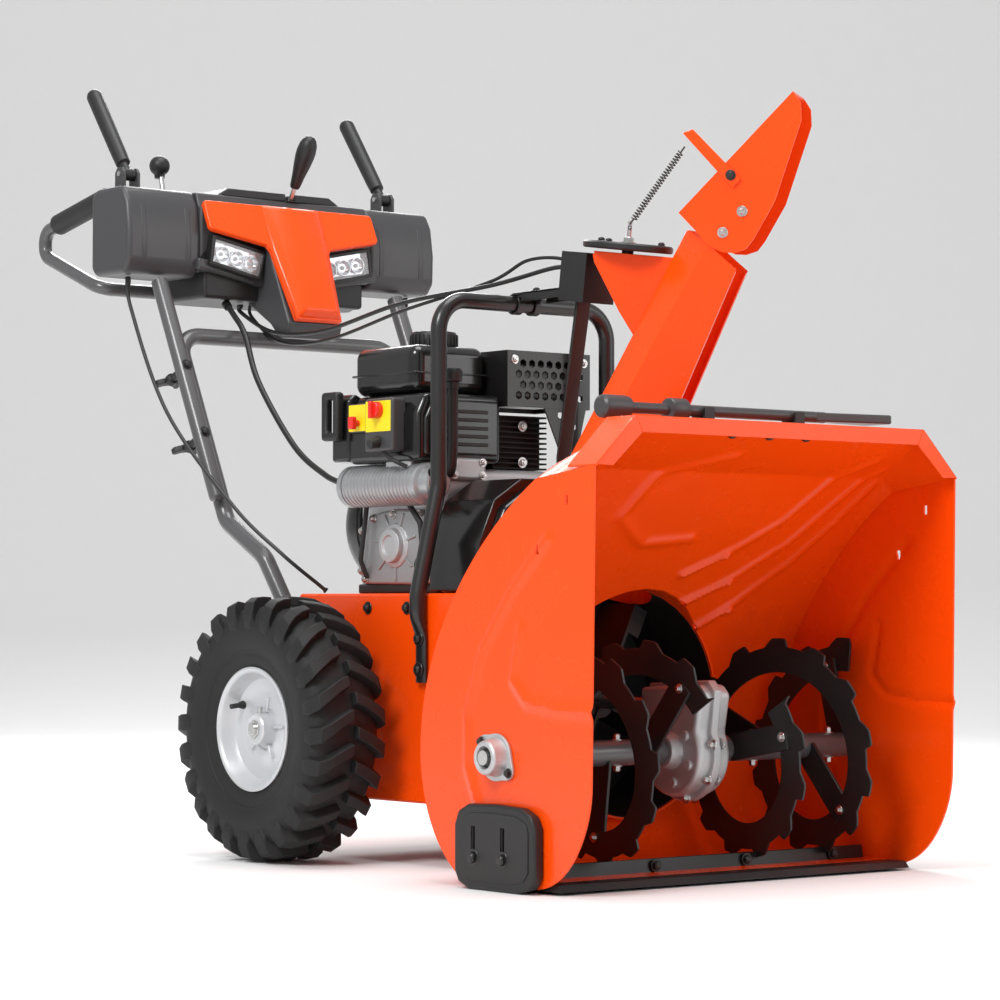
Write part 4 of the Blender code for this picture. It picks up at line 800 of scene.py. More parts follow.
def chute():
    make("chute_shell", ORANGE, "chute_turning", chute_shell, ("chute",), bevel=0.0006)

    def folds(bm):
        for sign in (-1, 1):
            low, high = sorted((sign * (CHUTE_HALF - 0.0105), sign * (CHUTE_HALF + 0.0001)))
            edge = []
            for k in range(9):
                height = 0.012 + (0.322 - 0.012) * k / 8
                edge.append((chute_front(height), height))
            strip = edge + [(u - 0.0028, z) for u, z in reversed(edge)]
            add_prism(bm, strip, "Y", low, high, TURNED)
    make("chute_folds", ORANGE, "chute_turning", folds, bevel=0.0008)
    lathe("chute_ring", [(0.07, 0.0), (0.0846, 0.0), (0.085, 0.0015), (0.085, 0.004), (0.0815, 0.0055),
                         (0.08, 0.011), (0.07, 0.011)], "Z", (0, 0, 0), ORANGE, "chute_turning",
          sides=72, matrix=TURNED)
    gear = [(0.0086, GEAR_Z), (0.059, GEAR_Z), (0.061, GEAR_Z + 0.002), (0.061, GEAR_Z + 0.0075),
            (0.0585, GEAR_Z + 0.0098), (0.056, GEAR_Z + 0.01), (0.054, GEAR_Z + 0.0088),
            (0.03, GEAR_Z + 0.0088), (0.0285, GEAR_Z + 0.01), (0.0086, GEAR_Z + 0.01)]
    lathe("chute_gear", gear, "Z", (0, 0, 0), BLACK_PLASTIC, "chute_turning", ("chute_disc",), 72, matrix=TURNED)
    cheek = [(-0.04, 0.3185), (-0.043, 0.329), (-0.038, 0.3325), (0.069, 0.3325), (0.0235, 0.2235), (0.0, 0.255)]

    def cheeks(bm):
        for sign in (-1, 1):
            low, high = sorted((sign * 0.0245, sign * 0.027))
            add_prism(bm, cheek, "Y", low, high, TURNED)
        add_box(bm, (-0.0415, -0.027, 0.331), (0.069, 0.027, 0.3338), TURNED)
    make("chute_bracket", ORANGE, "chute_turning", cheeks, bevel=0.0009)
    places = [(TURNED @ Vector((u, v, GEAR_Z + 0.0088)), TURNED.to_3x3() @ Vector((0, 0, 1)))
              for u, v in ((0.045, 0.0), (-0.032, 0.03), (-0.032, -0.03))]
    bolts("chute_gear_bolts", places, 0.0048, 0.0035, DARK_STEEL, "chute_turning")

    outline = [
        (0.074, 0.393), (0.129, 0.462), (0.21, 0.564), (0.2215, 0.549), (0.2245, 0.527), (0.1997, 0.4185),
        (0.176, 0.366), (0.1676, 0.353), (0.1525, 0.3465), (0.1375, 0.346), (0.1156, 0.354), (0.098, 0.372),
    ]
    across = CHUTE_HALF + 0.0035
    hood = prism("hood_shell", outline, "Y", -across, across, ORANGE, "deflector_hood", 0.0, 2,
                 ("deflector",), TURNED)
    hood.modifiers.clear()
    room = [(0.0763, 0.391), (0.2123, 0.5615), (0.3, 0.6), (0.3, 0.2), (0.05, 0.2), (0.0563, 0.366)]
    cut(hood, lambda bm: add_prism(bm, room, "Y", -CHUTE_HALF - 0.0006, CHUTE_HALF + 0.0006, TURNED))
    edges = hood.modifiers.new("edges", "BEVEL")
    edges.width, edges.segments, edges.limit_method = 0.0009, 2, "ANGLE"
    arm = [(0.07, 0.498), (0.083, 0.504), (0.153, 0.444), (0.143, 0.431)]
    prism("hood_arm", arm, "Y", -across - 0.0045, -across + 0.001, ORANGE, "deflector_hood", 0.0012, 2, (), TURNED)
    turn = TURNED.to_3x3()
    places = []
    for sign in (-1, 1):
        out = turn @ Vector((0, sign, 0))
        for u, z in ((DEFLECTOR_PIVOT[0], DEFLECTOR_PIVOT[1]), (0.158, 0.402)):
            places.append((TURNED @ Vector((u, sign * across, z)), out))
    bolts("hood_rivets", places, 0.005, 0.003, STEEL, "deflector_hood")
    bolts("arm_bolt", [(TURNED @ Vector((0.139, -across - 0.0044, 0.448)), turn @ Vector((0, -1, 0)))],
          0.0048, 0.0035, DARK_STEEL, "deflector_hood")

    top = Vector((0.0757, -across - 0.0095, 0.48))
    low = Vector((0.012, -across - 0.0095, 0.372))
    axis = (low - top).normalized()
    side, other = axis.orthogonal().normalized(), axis.cross(axis.orthogonal().normalized())
    coil = []
    turns, length = 26, (low - top).length - 0.018
    for k in range(turns * 12 + 1):
        t = 2 * math.pi * k / 12
        centre = top + axis * (0.009 + length * k / (turns * 12))
        coil.append(TURNED @ (centre + (side * math.cos(t) + other * math.sin(t)) * 0.004))

    def spring(bm):
        add_sweep(bm, coil, 0.00085, 8)
        for end, way in ((top, axis), (low, -axis)):
            add_sweep(bm, [TURNED @ (end + way * s) for s in (0.0, 0.01)], 0.0012, 10)
    make("hood_spring", DARK_STEEL, "chute_turning", spring, ("deflector_spring",))
    post = [TURNED @ Vector(p) for p in ((0, 0, 0.346), (0, 0, 0.374), (0.012, -across - 0.008, 0.374))]

    def eyebolt(bm):
        add_sweep(bm, bent(post, 0.01, 10), 0.003, 20)
        add_bolt(bm, TURNED @ Vector((0, 0, 0.348)), TURNED.to_3x3() @ Vector((0, 0, 1)), 0.007, 0.006)
    make("spring_post", STEEL, "chute_turning", eyebolt)


def chute_support():
    """The head block under the disc, its lug, the post, the clamp and the plate back to the guard bar."""
    def block(bm):
        add_box(bm, (-0.105, -0.028, 0.2625), (-0.052, 0.028, 0.3305), STRAIGHT)
        add_box(bm, (-0.06, -0.011, 0.3205), (0.011, 0.011, 0.33), STRAIGHT)
        add_lathe(bm, [(0.0, 0.3215), (0.008, 0.3215), (0.008, 0.347), (0.007, 0.348), (0.0, 0.348)],
                  STRAIGHT, 32)
    make("support_head", BLACK_PLASTIC, "chassis", block, ("chute_support",), bevel=0.0025, segments=3)

    def plate(bm):
        add_box(bm, (-0.024, -0.311, 0.7885), (0.024, -0.196, 0.7925))
        strap = [(-0.2815, 0.47), (-0.2775, 0.47), (-0.2775, 0.56), (-0.32, 0.782), (-0.326, 0.782),
                 (-0.2815, 0.562)]
        add_prism(bm, strap, "X", -0.012, 0.012)
        add_box(bm, (-0.024, -0.311, 0.779), (-0.0215, -0.215, 0.7925))
        add_box(bm, (0.0215, -0.311, 0.779), (0.024, -0.215, 0.7925))
    make("support_plate", BLACK_METAL, "chassis", plate, bevel=0.0012)

    def clamp(bm):
        for x in (-0.0215, 0.0095):
            add_lathe(bm, [(0.0119, x), (0.0148, x), (0.0148, x + 0.012), (0.0119, x + 0.012)],
                      along_axis("X", (0, -0.194, 0.777)), 32)
        add_box(bm, (-0.0215, -0.212, 0.785), (0.0215, -0.196, 0.7925))
    make("support_clamp", BLACK_METAL, "chassis", clamp, bevel=0.0008)
    places = [((x, -0.235, 0.7925), (0, 0, 1)) for x in (-0.012, 0.012)] + [((0, -0.29, 0.7925), (0, 0, 1))]
    bolts("support_bolts", places, 0.005, 0.0028)


# ---- frame, covers and engine ------------------------------------------------------------------------
def drum_and_frame():
    def drum(bm):
        centre = along_axis("Y", (0, 0, IMPELLER_Z))
        add_lathe(bm, [(DRUM_RADIUS, -0.42), (DRUM_RADIUS + 0.003, -0.42), (DRUM_RADIUS + 0.003, -0.2765),
                       (0.017, -0.2765), (0.017, -0.2795), (DRUM_RADIUS, -0.2795)], centre, 96)
    shell = make("drum_shell", ORANGE, "chassis", drum, bevel=0.0006)
    axis = Vector((0, -math.sin(CHUTE_TILT), math.cos(CHUTE_TILT)))

    def neck(bm):
        add_rod(bm, CHUTE_FOOT - axis * 0.2, CHUTE_FOOT + axis * 0.05, 0.0755, 64)
    cut(shell, neck)

    # painted shade: a near-black sheet inside the orange drum stands for the shade in its mouth, not for a real liner
    def painted_shade_sheet(bm):
        add_lathe(bm, [(DRUM_RADIUS - 0.0011, -0.416), (DRUM_RADIUS - 0.0001, -0.416), (DRUM_RADIUS - 0.0001, -0.2797),
                       (0.017, -0.2797), (0.017, -0.2807), (DRUM_RADIUS - 0.0011, -0.2807)],
                  along_axis("Y", (0, 0, IMPELLER_Z)), 96)
    cut(make("drum_painted_shade", FINS_AND_PAINTED_SHADE, "chassis", painted_shade_sheet), neck)

    bolts("frame_bolts", [((sign * (FRAME_HALF + 0.0002), y, z), (sign, 0, 0)) for sign in (-1, 1)
                          for y, z in ((-0.262, 0.35), (-0.262, 0.27), (-0.262, 0.19), (0.075, 0.345),
                                       (0.075, 0.275), (-0.06, 0.352), (-0.15, 0.352), (0.02, 0.3))],
          0.0062, 0.0042)


def covers():
    profile = [(-0.135, 0.3755), (-0.135, 0.44), (-0.108, 0.5), (-0.06, 0.53), (0.06, 0.53),
               (0.108, 0.5), (0.135, 0.44), (0.135, 0.3755)]
    crease = [(x * 0.9, 0.3755 + (z - 0.3755) * 0.92) for x, z in profile]
    cover = prism("belt_cover_shell", profile, "Y", -0.262, -0.152, GLOSS_PLASTIC, "chassis", 0.005, 4,
                  ("belt_cover",))
    room = [(x * 0.972, 0.37 + (z - 0.37) * 0.976) for x, z in profile]
    cut(cover, lambda bm: add_prism(bm, room, "Y", -0.258, -0.1))
    prism("belt_cover_face", crease, "Y", -0.272, -0.258, GLOSS_PLASTIC, "chassis", 0.006, 4)
    bolts("cover_bolts", [((sign * 0.085, -0.272, 0.425), (0, -1, 0)) for sign in (-1, 1)], 0.0055, 0.0035)


def finned_block(bm, centre, half_x, half_y, start, count, pitch):
    for k in range(count):
        z = start + pitch * k
        add_box(bm, (centre[0] - half_x, centre[1] - half_y, z), (centre[0] + half_x, centre[1] + half_y, z + 0.0026))
    add_box(bm, (centre[0] - half_x * 0.88, centre[1] - half_y * 0.86, start),
            (centre[0] + half_x * 0.88, centre[1] + half_y * 0.86, start + pitch * (count - 1) + 0.002))


def engine():
    rounded_box("engine_case", (-0.099, -0.1345, FRAME_TOP_Z + 0.0003), (0.099, 0.06, 0.548), CASTING, "chassis",
                0.01, 4, ("crankcase",))

    side_cover = [(-0.12, 0.388), (-0.124, 0.43), (-0.118, 0.47), (-0.095, 0.49), (-0.03, 0.492),
                  (0.02, 0.486), (0.048, 0.466), (0.05, 0.4), (0.04, 0.386), (-0.105, 0.384)]
    for side, sign in SIDES:
        low, high = sorted((sign * 0.0975, sign * 0.1065))
        prism(f"case_cover_{side}", side_cover, "X", low, high, ENGINE_SILVER, "chassis", 0.0035, 3)
        places = [((sign * 0.1065, y * 0.93 - 0.0025, 0.4385 + (z - 0.4385) * 0.87), (sign, 0, 0))
                  for y, z in side_cover]
        bolts(f"case_bolts_{side}", places, 0.0046, 0.0042, STEEL)
        lathe(f"case_boss_{side}", [(0.0, 0.104), (0.033, 0.104), (0.031, 0.1085), (0.025, 0.11),
                                    (0.0235, 0.118), (0.015, 0.1195), (0.0135, 0.1165), (0.0, 0.1165)],
              (sign, 0, 0), (0, -0.035, 0.44), CASTING, "chassis", bevel=0.0006)
        lathe(f"case_plug_{side}", [(0.0, 0.104), (0.012, 0.104), (0.012, 0.112), (0.008, 0.115),
                                    (0.0, 0.115)], (sign, 0, 0), (0, -0.098, 0.412), DARK_STEEL, "chassis")

        def ribs(bm, sign=sign):
            for k in range(7):
                turn = along_axis((sign, 0, 0), (sign * 0.1062, -0.035, 0.44)) @ Matrix.Rotation(
                    2 * math.pi * (k + 0.3) / 7, 4, "Z")
                add_box(bm, (0.028, -0.0018, -0.002), (0.05, 0.0018, 0.0026), turn)
        make(f"case_ribs_{side}", ENGINE_SILVER, "chassis", ribs, bevel=0.0009)
    rounded_box("case_foot", (-0.1035, -0.128, FRAME_TOP_Z + 0.0003), (0.1035, 0.058, 0.386), BLACK_STEEL, "chassis",
                0.003, 3)

    def plumbing(bm):
        add_sweep(bm, bent([(-0.106, -0.118, 0.4), (-0.118, -0.118, 0.404), (-0.12, -0.112, 0.47),
                            (-0.122, -0.085, 0.5)], 0.014, 8), 0.0042, 18)
        add_sweep(bm, bent([(-0.108, 0.03, 0.395), (-0.118, 0.032, 0.42), (-0.116, 0.02, 0.498)], 0.016, 8),
                  0.0035, 18)
        add_sweep(bm, bent([(-0.15, -0.079, 0.578), (-0.166, -0.079, 0.57), (-0.164, -0.11, 0.556),
                            (-0.15, -0.12, 0.548)], 0.01, 8), 0.003, 16)
    make("engine_hoses", GRIP_RUBBER, "chassis", plumbing)
    rounded_box("carburettor", (-0.144, -0.118, 0.544), (-0.104, -0.06, 0.564), CASTING, "chassis", 0.004, 3)
    rounded_box("intake_elbow", (-0.096, -0.148, 0.53), (-0.03, -0.125, 0.564), ENGINE_SILVER, "chassis", 0.006, 4)
    bolts("intake_bolts", [((x, -0.148, z), (0, -1, 0)) for x in (-0.088, -0.038) for z in (0.538, 0.556)],
          0.0042, 0.0036, STEEL)
    make("engine_fins", FINS_AND_PAINTED_SHADE, "chassis",
         lambda bm: finned_block(bm, (0.054, -0.052), 0.05, 0.066, 0.55, 11, 0.0074), bevel=0.0006)
    bolts("head_bolts", [((0.058, -0.118, z), (0, -1, 0)) for z in (0.56, 0.612)], 0.0055, 0.0045, STEEL)
    centre = (-0.1285, 0, 0.5246)
    profile = [(0.0, -0.165), (0.018, -0.165), (0.0215, -0.1625), (0.023, -0.158), (0.023, -0.146),
               (0.0285, -0.143), (0.0298, -0.14)]
    y = -0.136
    while y < 0.02:
        profile += [(0.03, y), (0.03, y + 0.0035), (0.0288, y + 0.0042), (0.0288, y + 0.0075)]
        y += 0.0082
    profile += [(0.03, 0.026), (0.03, 0.036), (0.027, 0.04), (0.0, 0.04)]
    lathe("starter_motor", profile, "Y", centre, ENGINE_SILVER, "chassis", sides=72)
    bolts("starter_bolts", [((-0.143, -0.165, 0.5246 + 0.0145 * j), (0, -1, 0)) for j in (-1, 1)], 0.004, 0.003)
    rounded_box("starter_mount", (-0.115, -0.11, 0.497), (-0.096, 0.025, 0.546), CASTING, "chassis", 0.004, 3)

    # the faceted cover over the blower, narrower towards the top
    facet = [(-0.15, 0.5556), (-0.15, 0.622), (-0.136, 0.652), (-0.0005, 0.652), (-0.0005, 0.5556)]
    prism("shroud_shell", facet, "Y", -0.144, 0.02, GLOSS_PLASTIC, "chassis", 0.009, 5, ("blower_shroud",))
    front = [(-0.14, 0.565), (-0.14, 0.616), (-0.126, 0.643), (-0.01, 0.643), (-0.01, 0.565)]
    prism("shroud_front", front, "Y", -0.1495, -0.14, GLOSS_PLASTIC, "chassis", 0.004, 4)

    def louvres(bm):
        for k in range(5):
            z = 0.578 + 0.0115 * k
            add_box(bm, (-0.118, -0.1512, z), (-0.03, -0.148, z + 0.0052))
    make("shroud_louvres", BLACK_PLASTIC, "chassis", louvres, bevel=0.0012)
    rounded_box("control_box", (-0.17, -0.112, 0.57), (-0.145, -0.046, 0.645), GREY_PLASTIC, "chassis", 0.0045, 4)
    rounded_box("ignition_box", (-0.156, -0.034, 0.6), (-0.145, 0.01, 0.6405), GREY_PLASTIC, "chassis", 0.002, 3)
    rounded_box("ignition_plate", (-0.1571, -0.0325, 0.6015), (-0.1555, 0.0085, 0.639), YELLOW, "chassis", 0.0006, 2)
    rounded_box("control_plate", (-0.1706, -0.108, 0.598), (-0.169, -0.05, 0.641), YELLOW, "chassis", 0.0006, 2)

    def boot(bm):
        add_rod(bm, (-0.1695, -0.079, 0.584), (-0.183, -0.079, 0.58), 0.0085, 32, 0.0062)
        add_rod(bm, (-0.1825, -0.079, 0.5802), (-0.185, -0.079, 0.5795), 0.0068, 32)
    make("cord_boot", GRIP_RUBBER, "chassis", boot, bevel=0.0008)

    profile = [(0.0, 0.0605), (0.099, 0.0605), (0.099, 0.064), (0.0965, 0.0655), (0.0965, 0.068), (0.099, 0.0695),
               (0.099, 0.085), (0.0965, 0.095), (0.092, 0.104), (0.083, 0.109), (0.07, 0.112), (0.055, 0.112),
               (0.052, 0.114), (0.03, 0.1155), (0.0, 0.116)]
    lathe("recoil_cover", profile, "Y", (0, 0, CRANK_Z), BLACK_METAL, "chassis", ("recoil_housing",), 96)

    def vents(bm):
        for k in range(18):
            t = 2 * math.pi * k / 18
            place = Matrix.Translation((0, 0.1105, CRANK_Z)) @ Matrix.Rotation(t, 4, "Y")
            add_box(bm, (0.062, 0.0, -0.003), (0.082, 0.0022, 0.003), place)
    make("recoil_vents", BLACK_PLASTIC, "chassis", vents, bevel=0.0009)

    guide = [(-0.15, 0.56), (-0.15, 0.648), (-0.138, 0.658), (-0.1, 0.64), (-0.085, 0.575), (-0.085, 0.556)]
    prism("pull_guide", guide, "Y", 0.0185, 0.06, GLOSS_PLASTIC, "chassis", 0.005, 4)
    grip = rounded_box("pull_handle", (-0.166, 0.026, 0.59), (-0.1505, 0.066, 0.66), BLACK_PLASTIC, "starter_grip",
                       0.0065, 5, ("recoil_grip",))
    cut(grip, lambda bm: add_box(bm, (-0.18, 0.0385, 0.6015), (-0.14, 0.054, 0.6485)))
    rounded_box("tank_shell", (-0.132, -0.114, 0.6523), (-0.002, 0.034, 0.722), GLOSS_PLASTIC, "chassis", 0.017, 7,
                ("fuel_tank",))
    seam = rounded_box("tank_seam", (-0.1326, -0.1146, 0.68), (-0.0014, 0.0346, 0.6835), GLOSS_PLASTIC, "chassis",
                       0.0015, 2)
    seam.modifiers["edges"].width = 0.0014
    neck_place = (-0.055, -0.057, 0)
    lathe("tank_neck", [(0.023, 0.715), (0.032, 0.715), (0.03, 0.7215), (0.026, 0.7222), (0.026, 0.73),
                        (0.023, 0.73)], "Z", neck_place, GLOSS_PLASTIC, "chassis")
    lathe("cap_core", [(0.0, 0.7303), (0.0263, 0.7303), (0.0263, 0.7228), (0.0325, 0.7228), (0.0332, 0.724),
                       (0.0332, 0.7405), (0.031, 0.744), (0.028, 0.745), (0.0, 0.745)], "Z", neck_place,
          BLACK_PLASTIC, "tank_cap", ("fuel_cap",))

    def knurl(bm):
        for k in range(28):
            place = Matrix.Translation(neck_place) @ Matrix.Rotation(2 * math.pi * k / 28, 4, "Z")
            add_box(bm, (0.0322, -0.0016, 0.7245), (0.0349, 0.0016, 0.7405), place)
        add_box(bm, (-0.0265, -0.0055, 0.744), (0.0265, 0.0055, 0.7449), Matrix.Translation(neck_place))
    make("cap_ribs", BLACK_PLASTIC, "tank_cap", knurl, bevel=0.0007)

    def key(bm):
        add_box(bm, (-0.172, -0.021, 0.604), (-0.164, -0.009, 0.622))
        add_rod(bm, (-0.1645, -0.015, 0.613), (-0.1574, -0.015, 0.613), 0.0048, 24)
    make("key_grip", RED, "key", key, ("stop_key",), bevel=0.0018, segments=3)

    def choke_build(bm):
        add_lathe(bm, [(0.0, 0.1706), (0.0115, 0.1706), (0.0118, 0.1715), (0.0112, 0.18), (0.0095, 0.1812),
                       (0.0, 0.1812)], along_axis((-1, 0, 0), (0, -0.08, 0.628)), 48)
        add_box(bm, (-0.1868, -0.083, 0.616), (-0.1805, -0.077, 0.64))
    make("choke_dial", RED, "choke", choke_build, ("choke_knob",), bevel=0.0009)

    def dipstick(bm):
        add_sweep(bm, bent([(-0.088, -0.125, 0.536), (-0.113, -0.172, 0.542), (-0.113, -0.1755, 0.58),
                            (-0.113, -0.1755, 0.665)], 0.014, 10), 0.0074, 28)
        add_lathe(bm, [(0.007, 0.655), (0.0092, 0.655), (0.0092, 0.665), (0.007, 0.665)],
                  Matrix.Translation((-0.113, -0.1755, 0)), 32)
    make("dipstick_tube", BLACK_PLASTIC, "chassis", dipstick, bevel=0.0004)
    lathe("dipstick_top", [(0.0, 0.6655), (0.0125, 0.6655), (0.0135, 0.668), (0.0128, 0.6705), (0.0135, 0.6725),
                           (0.0135, 0.6795), (0.011, 0.6835), (0.0, 0.684)], "Z", (-0.113, -0.1755, 0),
          BLACK_PLASTIC, "oil_cap", ("dipstick_cap",))
    muffler()


def muffler():
    shell = rounded_box("muffler_shield", (0.002, -0.154, 0.637), (0.155, -0.03, 0.717), BLACK_METAL, "chassis",
                        0.0055, 4, ("muffler_guard",))
    cut(shell, lambda bm: add_box(bm, (0.0045, -0.1515, 0.6), (0.1525, -0.0325, 0.7145)))

    def grille(bm):
        for row in range(4):
            z = 0.6535 + 0.0152 * row
            for column in range(8):
                x = 0.0225 + 0.0162 * column + (0.0081 if row % 2 else 0.0)
                if x < 0.14:
                    add_rod(bm, (x, -0.17, z), (x, -0.14, z), 0.0062, 6)
            for column in range(5):
                y = -0.13 + 0.018 * column + (0.009 if row % 2 else 0.0)
                add_rod(bm, (0.14, y, z), (0.17, y, z), 0.0062, 6)
    cut(shell, grille)
    rounded_box("muffler_can", (0.012, -0.143, 0.642), (0.145, -0.042, 0.706), DARK_STEEL, "chassis", 0.012, 4)
    bracket = prism("muffler_bracket", [(0.066, 0.645), (0.15, 0.645), (0.128, 0.56), (0.106, 0.56)], "Y",
                    -0.1536, -0.1512, BLACK_METAL, "chassis", 0.0008)

    def holes(bm):
        for x, z in ((0.1, 0.628), (0.118, 0.628), (0.109, 0.612), (0.125, 0.612), (0.117, 0.596)):
            add_rod(bm, (x, -0.17, z), (x, -0.14, z), 0.0052, 6)
    cut(bracket, holes)
    bolts("muffler_bolts", [((x, -0.154, z), (0, -1, 0)) for x, z in ((0.015, 0.704), (0.143, 0.704), (0.117, 0.57))],
          0.0045, 0.003, STEEL)


def guard_bar():
    side = FRAME_HALF + 0.0115 + 0.0003
    half = [(-side, -0.189, 0.25), (-side, -0.189, 0.37), (-0.152, -0.194, 0.52), (-0.152, -0.194, 0.777)]
    path = bent(half + [(-x, y, z) for x, y, z in reversed(half)], 0.045, 16)
    start = bmesh.new()
    path = [path[0].lerp(path[1], k / 12) for k in range(12)] + path[1:-1] + \
        [path[-2].lerp(path[-1], k / 12) for k in range(1, 13)]
    add_sweep(start, path, 0.0114, 28)
    for vert in start.verts:
        if vert.co.z < 0.345:
            share = min(1.0, (0.345 - vert.co.z) / 0.04)
            share = share * share * (3 - 2 * share)
            centre = math.copysign(side, vert.co.x)
            vert.co.x = centre + (vert.co.x - centre) * (1 - 0.62 * share) - math.copysign(0.0066 * share, vert.co.x)
    finish("guard_bar_tube", mesh_of("guard_bar_tube", start), BLACK_METAL, "chassis", ("guard_bar",))
    bolts("guard_bolts", [((sign * (side - 0.0018), -0.189, z), (sign, 0, 0))
          for sign in (-1, 1) for z in (0.268, 0.31)],
          0.007, 0.0034)


# ---- handles and console -----------------------------------------------------------------------------
def slope():
    along = Vector((0, HANDLE_HEAD[0] - HANDLE_FOOT[0], HANDLE_HEAD[1] - HANDLE_FOOT[1])).normalized()
    return along, Vector((0, along.z, -along.y))


def handles():
    along, rear = slope()
    half = [(-0.1855, 0.072, 0.262), (-0.1855, 0.09, 0.315), (-0.203, 0.15, 0.425), (-0.203, 0.248, 0.478),
            (-0.203, 0.268, 0.52), (-0.203, 0.385, 0.762)]
    path = bent(half + [(-x, y, z) for x, y, z in reversed(half)], 0.04, 14)
    tube("lower_handle_tube", path, TUBE_RADIUS - 0.0002, GUNMETAL, "chassis", ("lower_handle",), 32)
    across = Matrix((Vector((1, 0, 0)), along, rear)).transposed().to_4x4()
    for side, sign in SIDES:
        foot, top = Vector((sign * HANDLE_X, *HANDLE_FOOT)), Vector((sign * HANDLE_X, 0.4045, 0.843))
        length = (top - foot).length
        profile = [(0.0, 0.0), (0.01, 0.0), (0.012, 0.0012), (TUBE_RADIUS - 0.0001, 0.004),
                   (TUBE_RADIUS - 0.0001, length), (0.0, length)]
        place = Matrix.Translation(foot) @ along.to_track_quat("Z", "Y").to_matrix().to_4x4()
        make(f"upper_handle_{side}_tube", GUNMETAL, "chassis",
             lambda bm, profile=profile, place=place: add_lathe(bm, profile, place, 40), (f"upper_handle_{side}",))
        for level, reach in (("low", 0.1055), ("high", 0.219)):
            centre = foot + along * reach
            spot = Matrix.Translation(centre + rear * 0.046) @ across

            def knob(bm, spot=spot):
                wing = [(-0.0205, 0.0078), (-0.015, 0.0088), (-0.0085, 0.003), (0.0, 0.0005), (0.0085, 0.003),
                        (0.015, 0.0088), (0.0205, 0.0078), (0.0205, -0.0015), (0.0105, -0.0085),
                        (-0.0105, -0.0085), (-0.0205, -0.0015)]
                add_prism(bm, wing, "Y", -0.0042, 0.0042, spot)
                add_lathe(bm, [(0.0, -0.033), (0.0056, -0.033), (0.0056, -0.018), (0.0088, -0.016),
                               (0.0095, -0.008), (0.0, -0.0075)], spot, 32)
            make(f"wing_{side}_{level}", BLACK_PLASTIC, f"knob_{side}_{level}", knob, (f"wing_knob_{side}_{level}",),
                 bevel=0.0011, segments=3)
            bolts(f"handle_bolt_{side}_{level}", [(centre - rear * (TUBE_RADIUS - 0.0008), -rear)], 0.006, 0.0036)


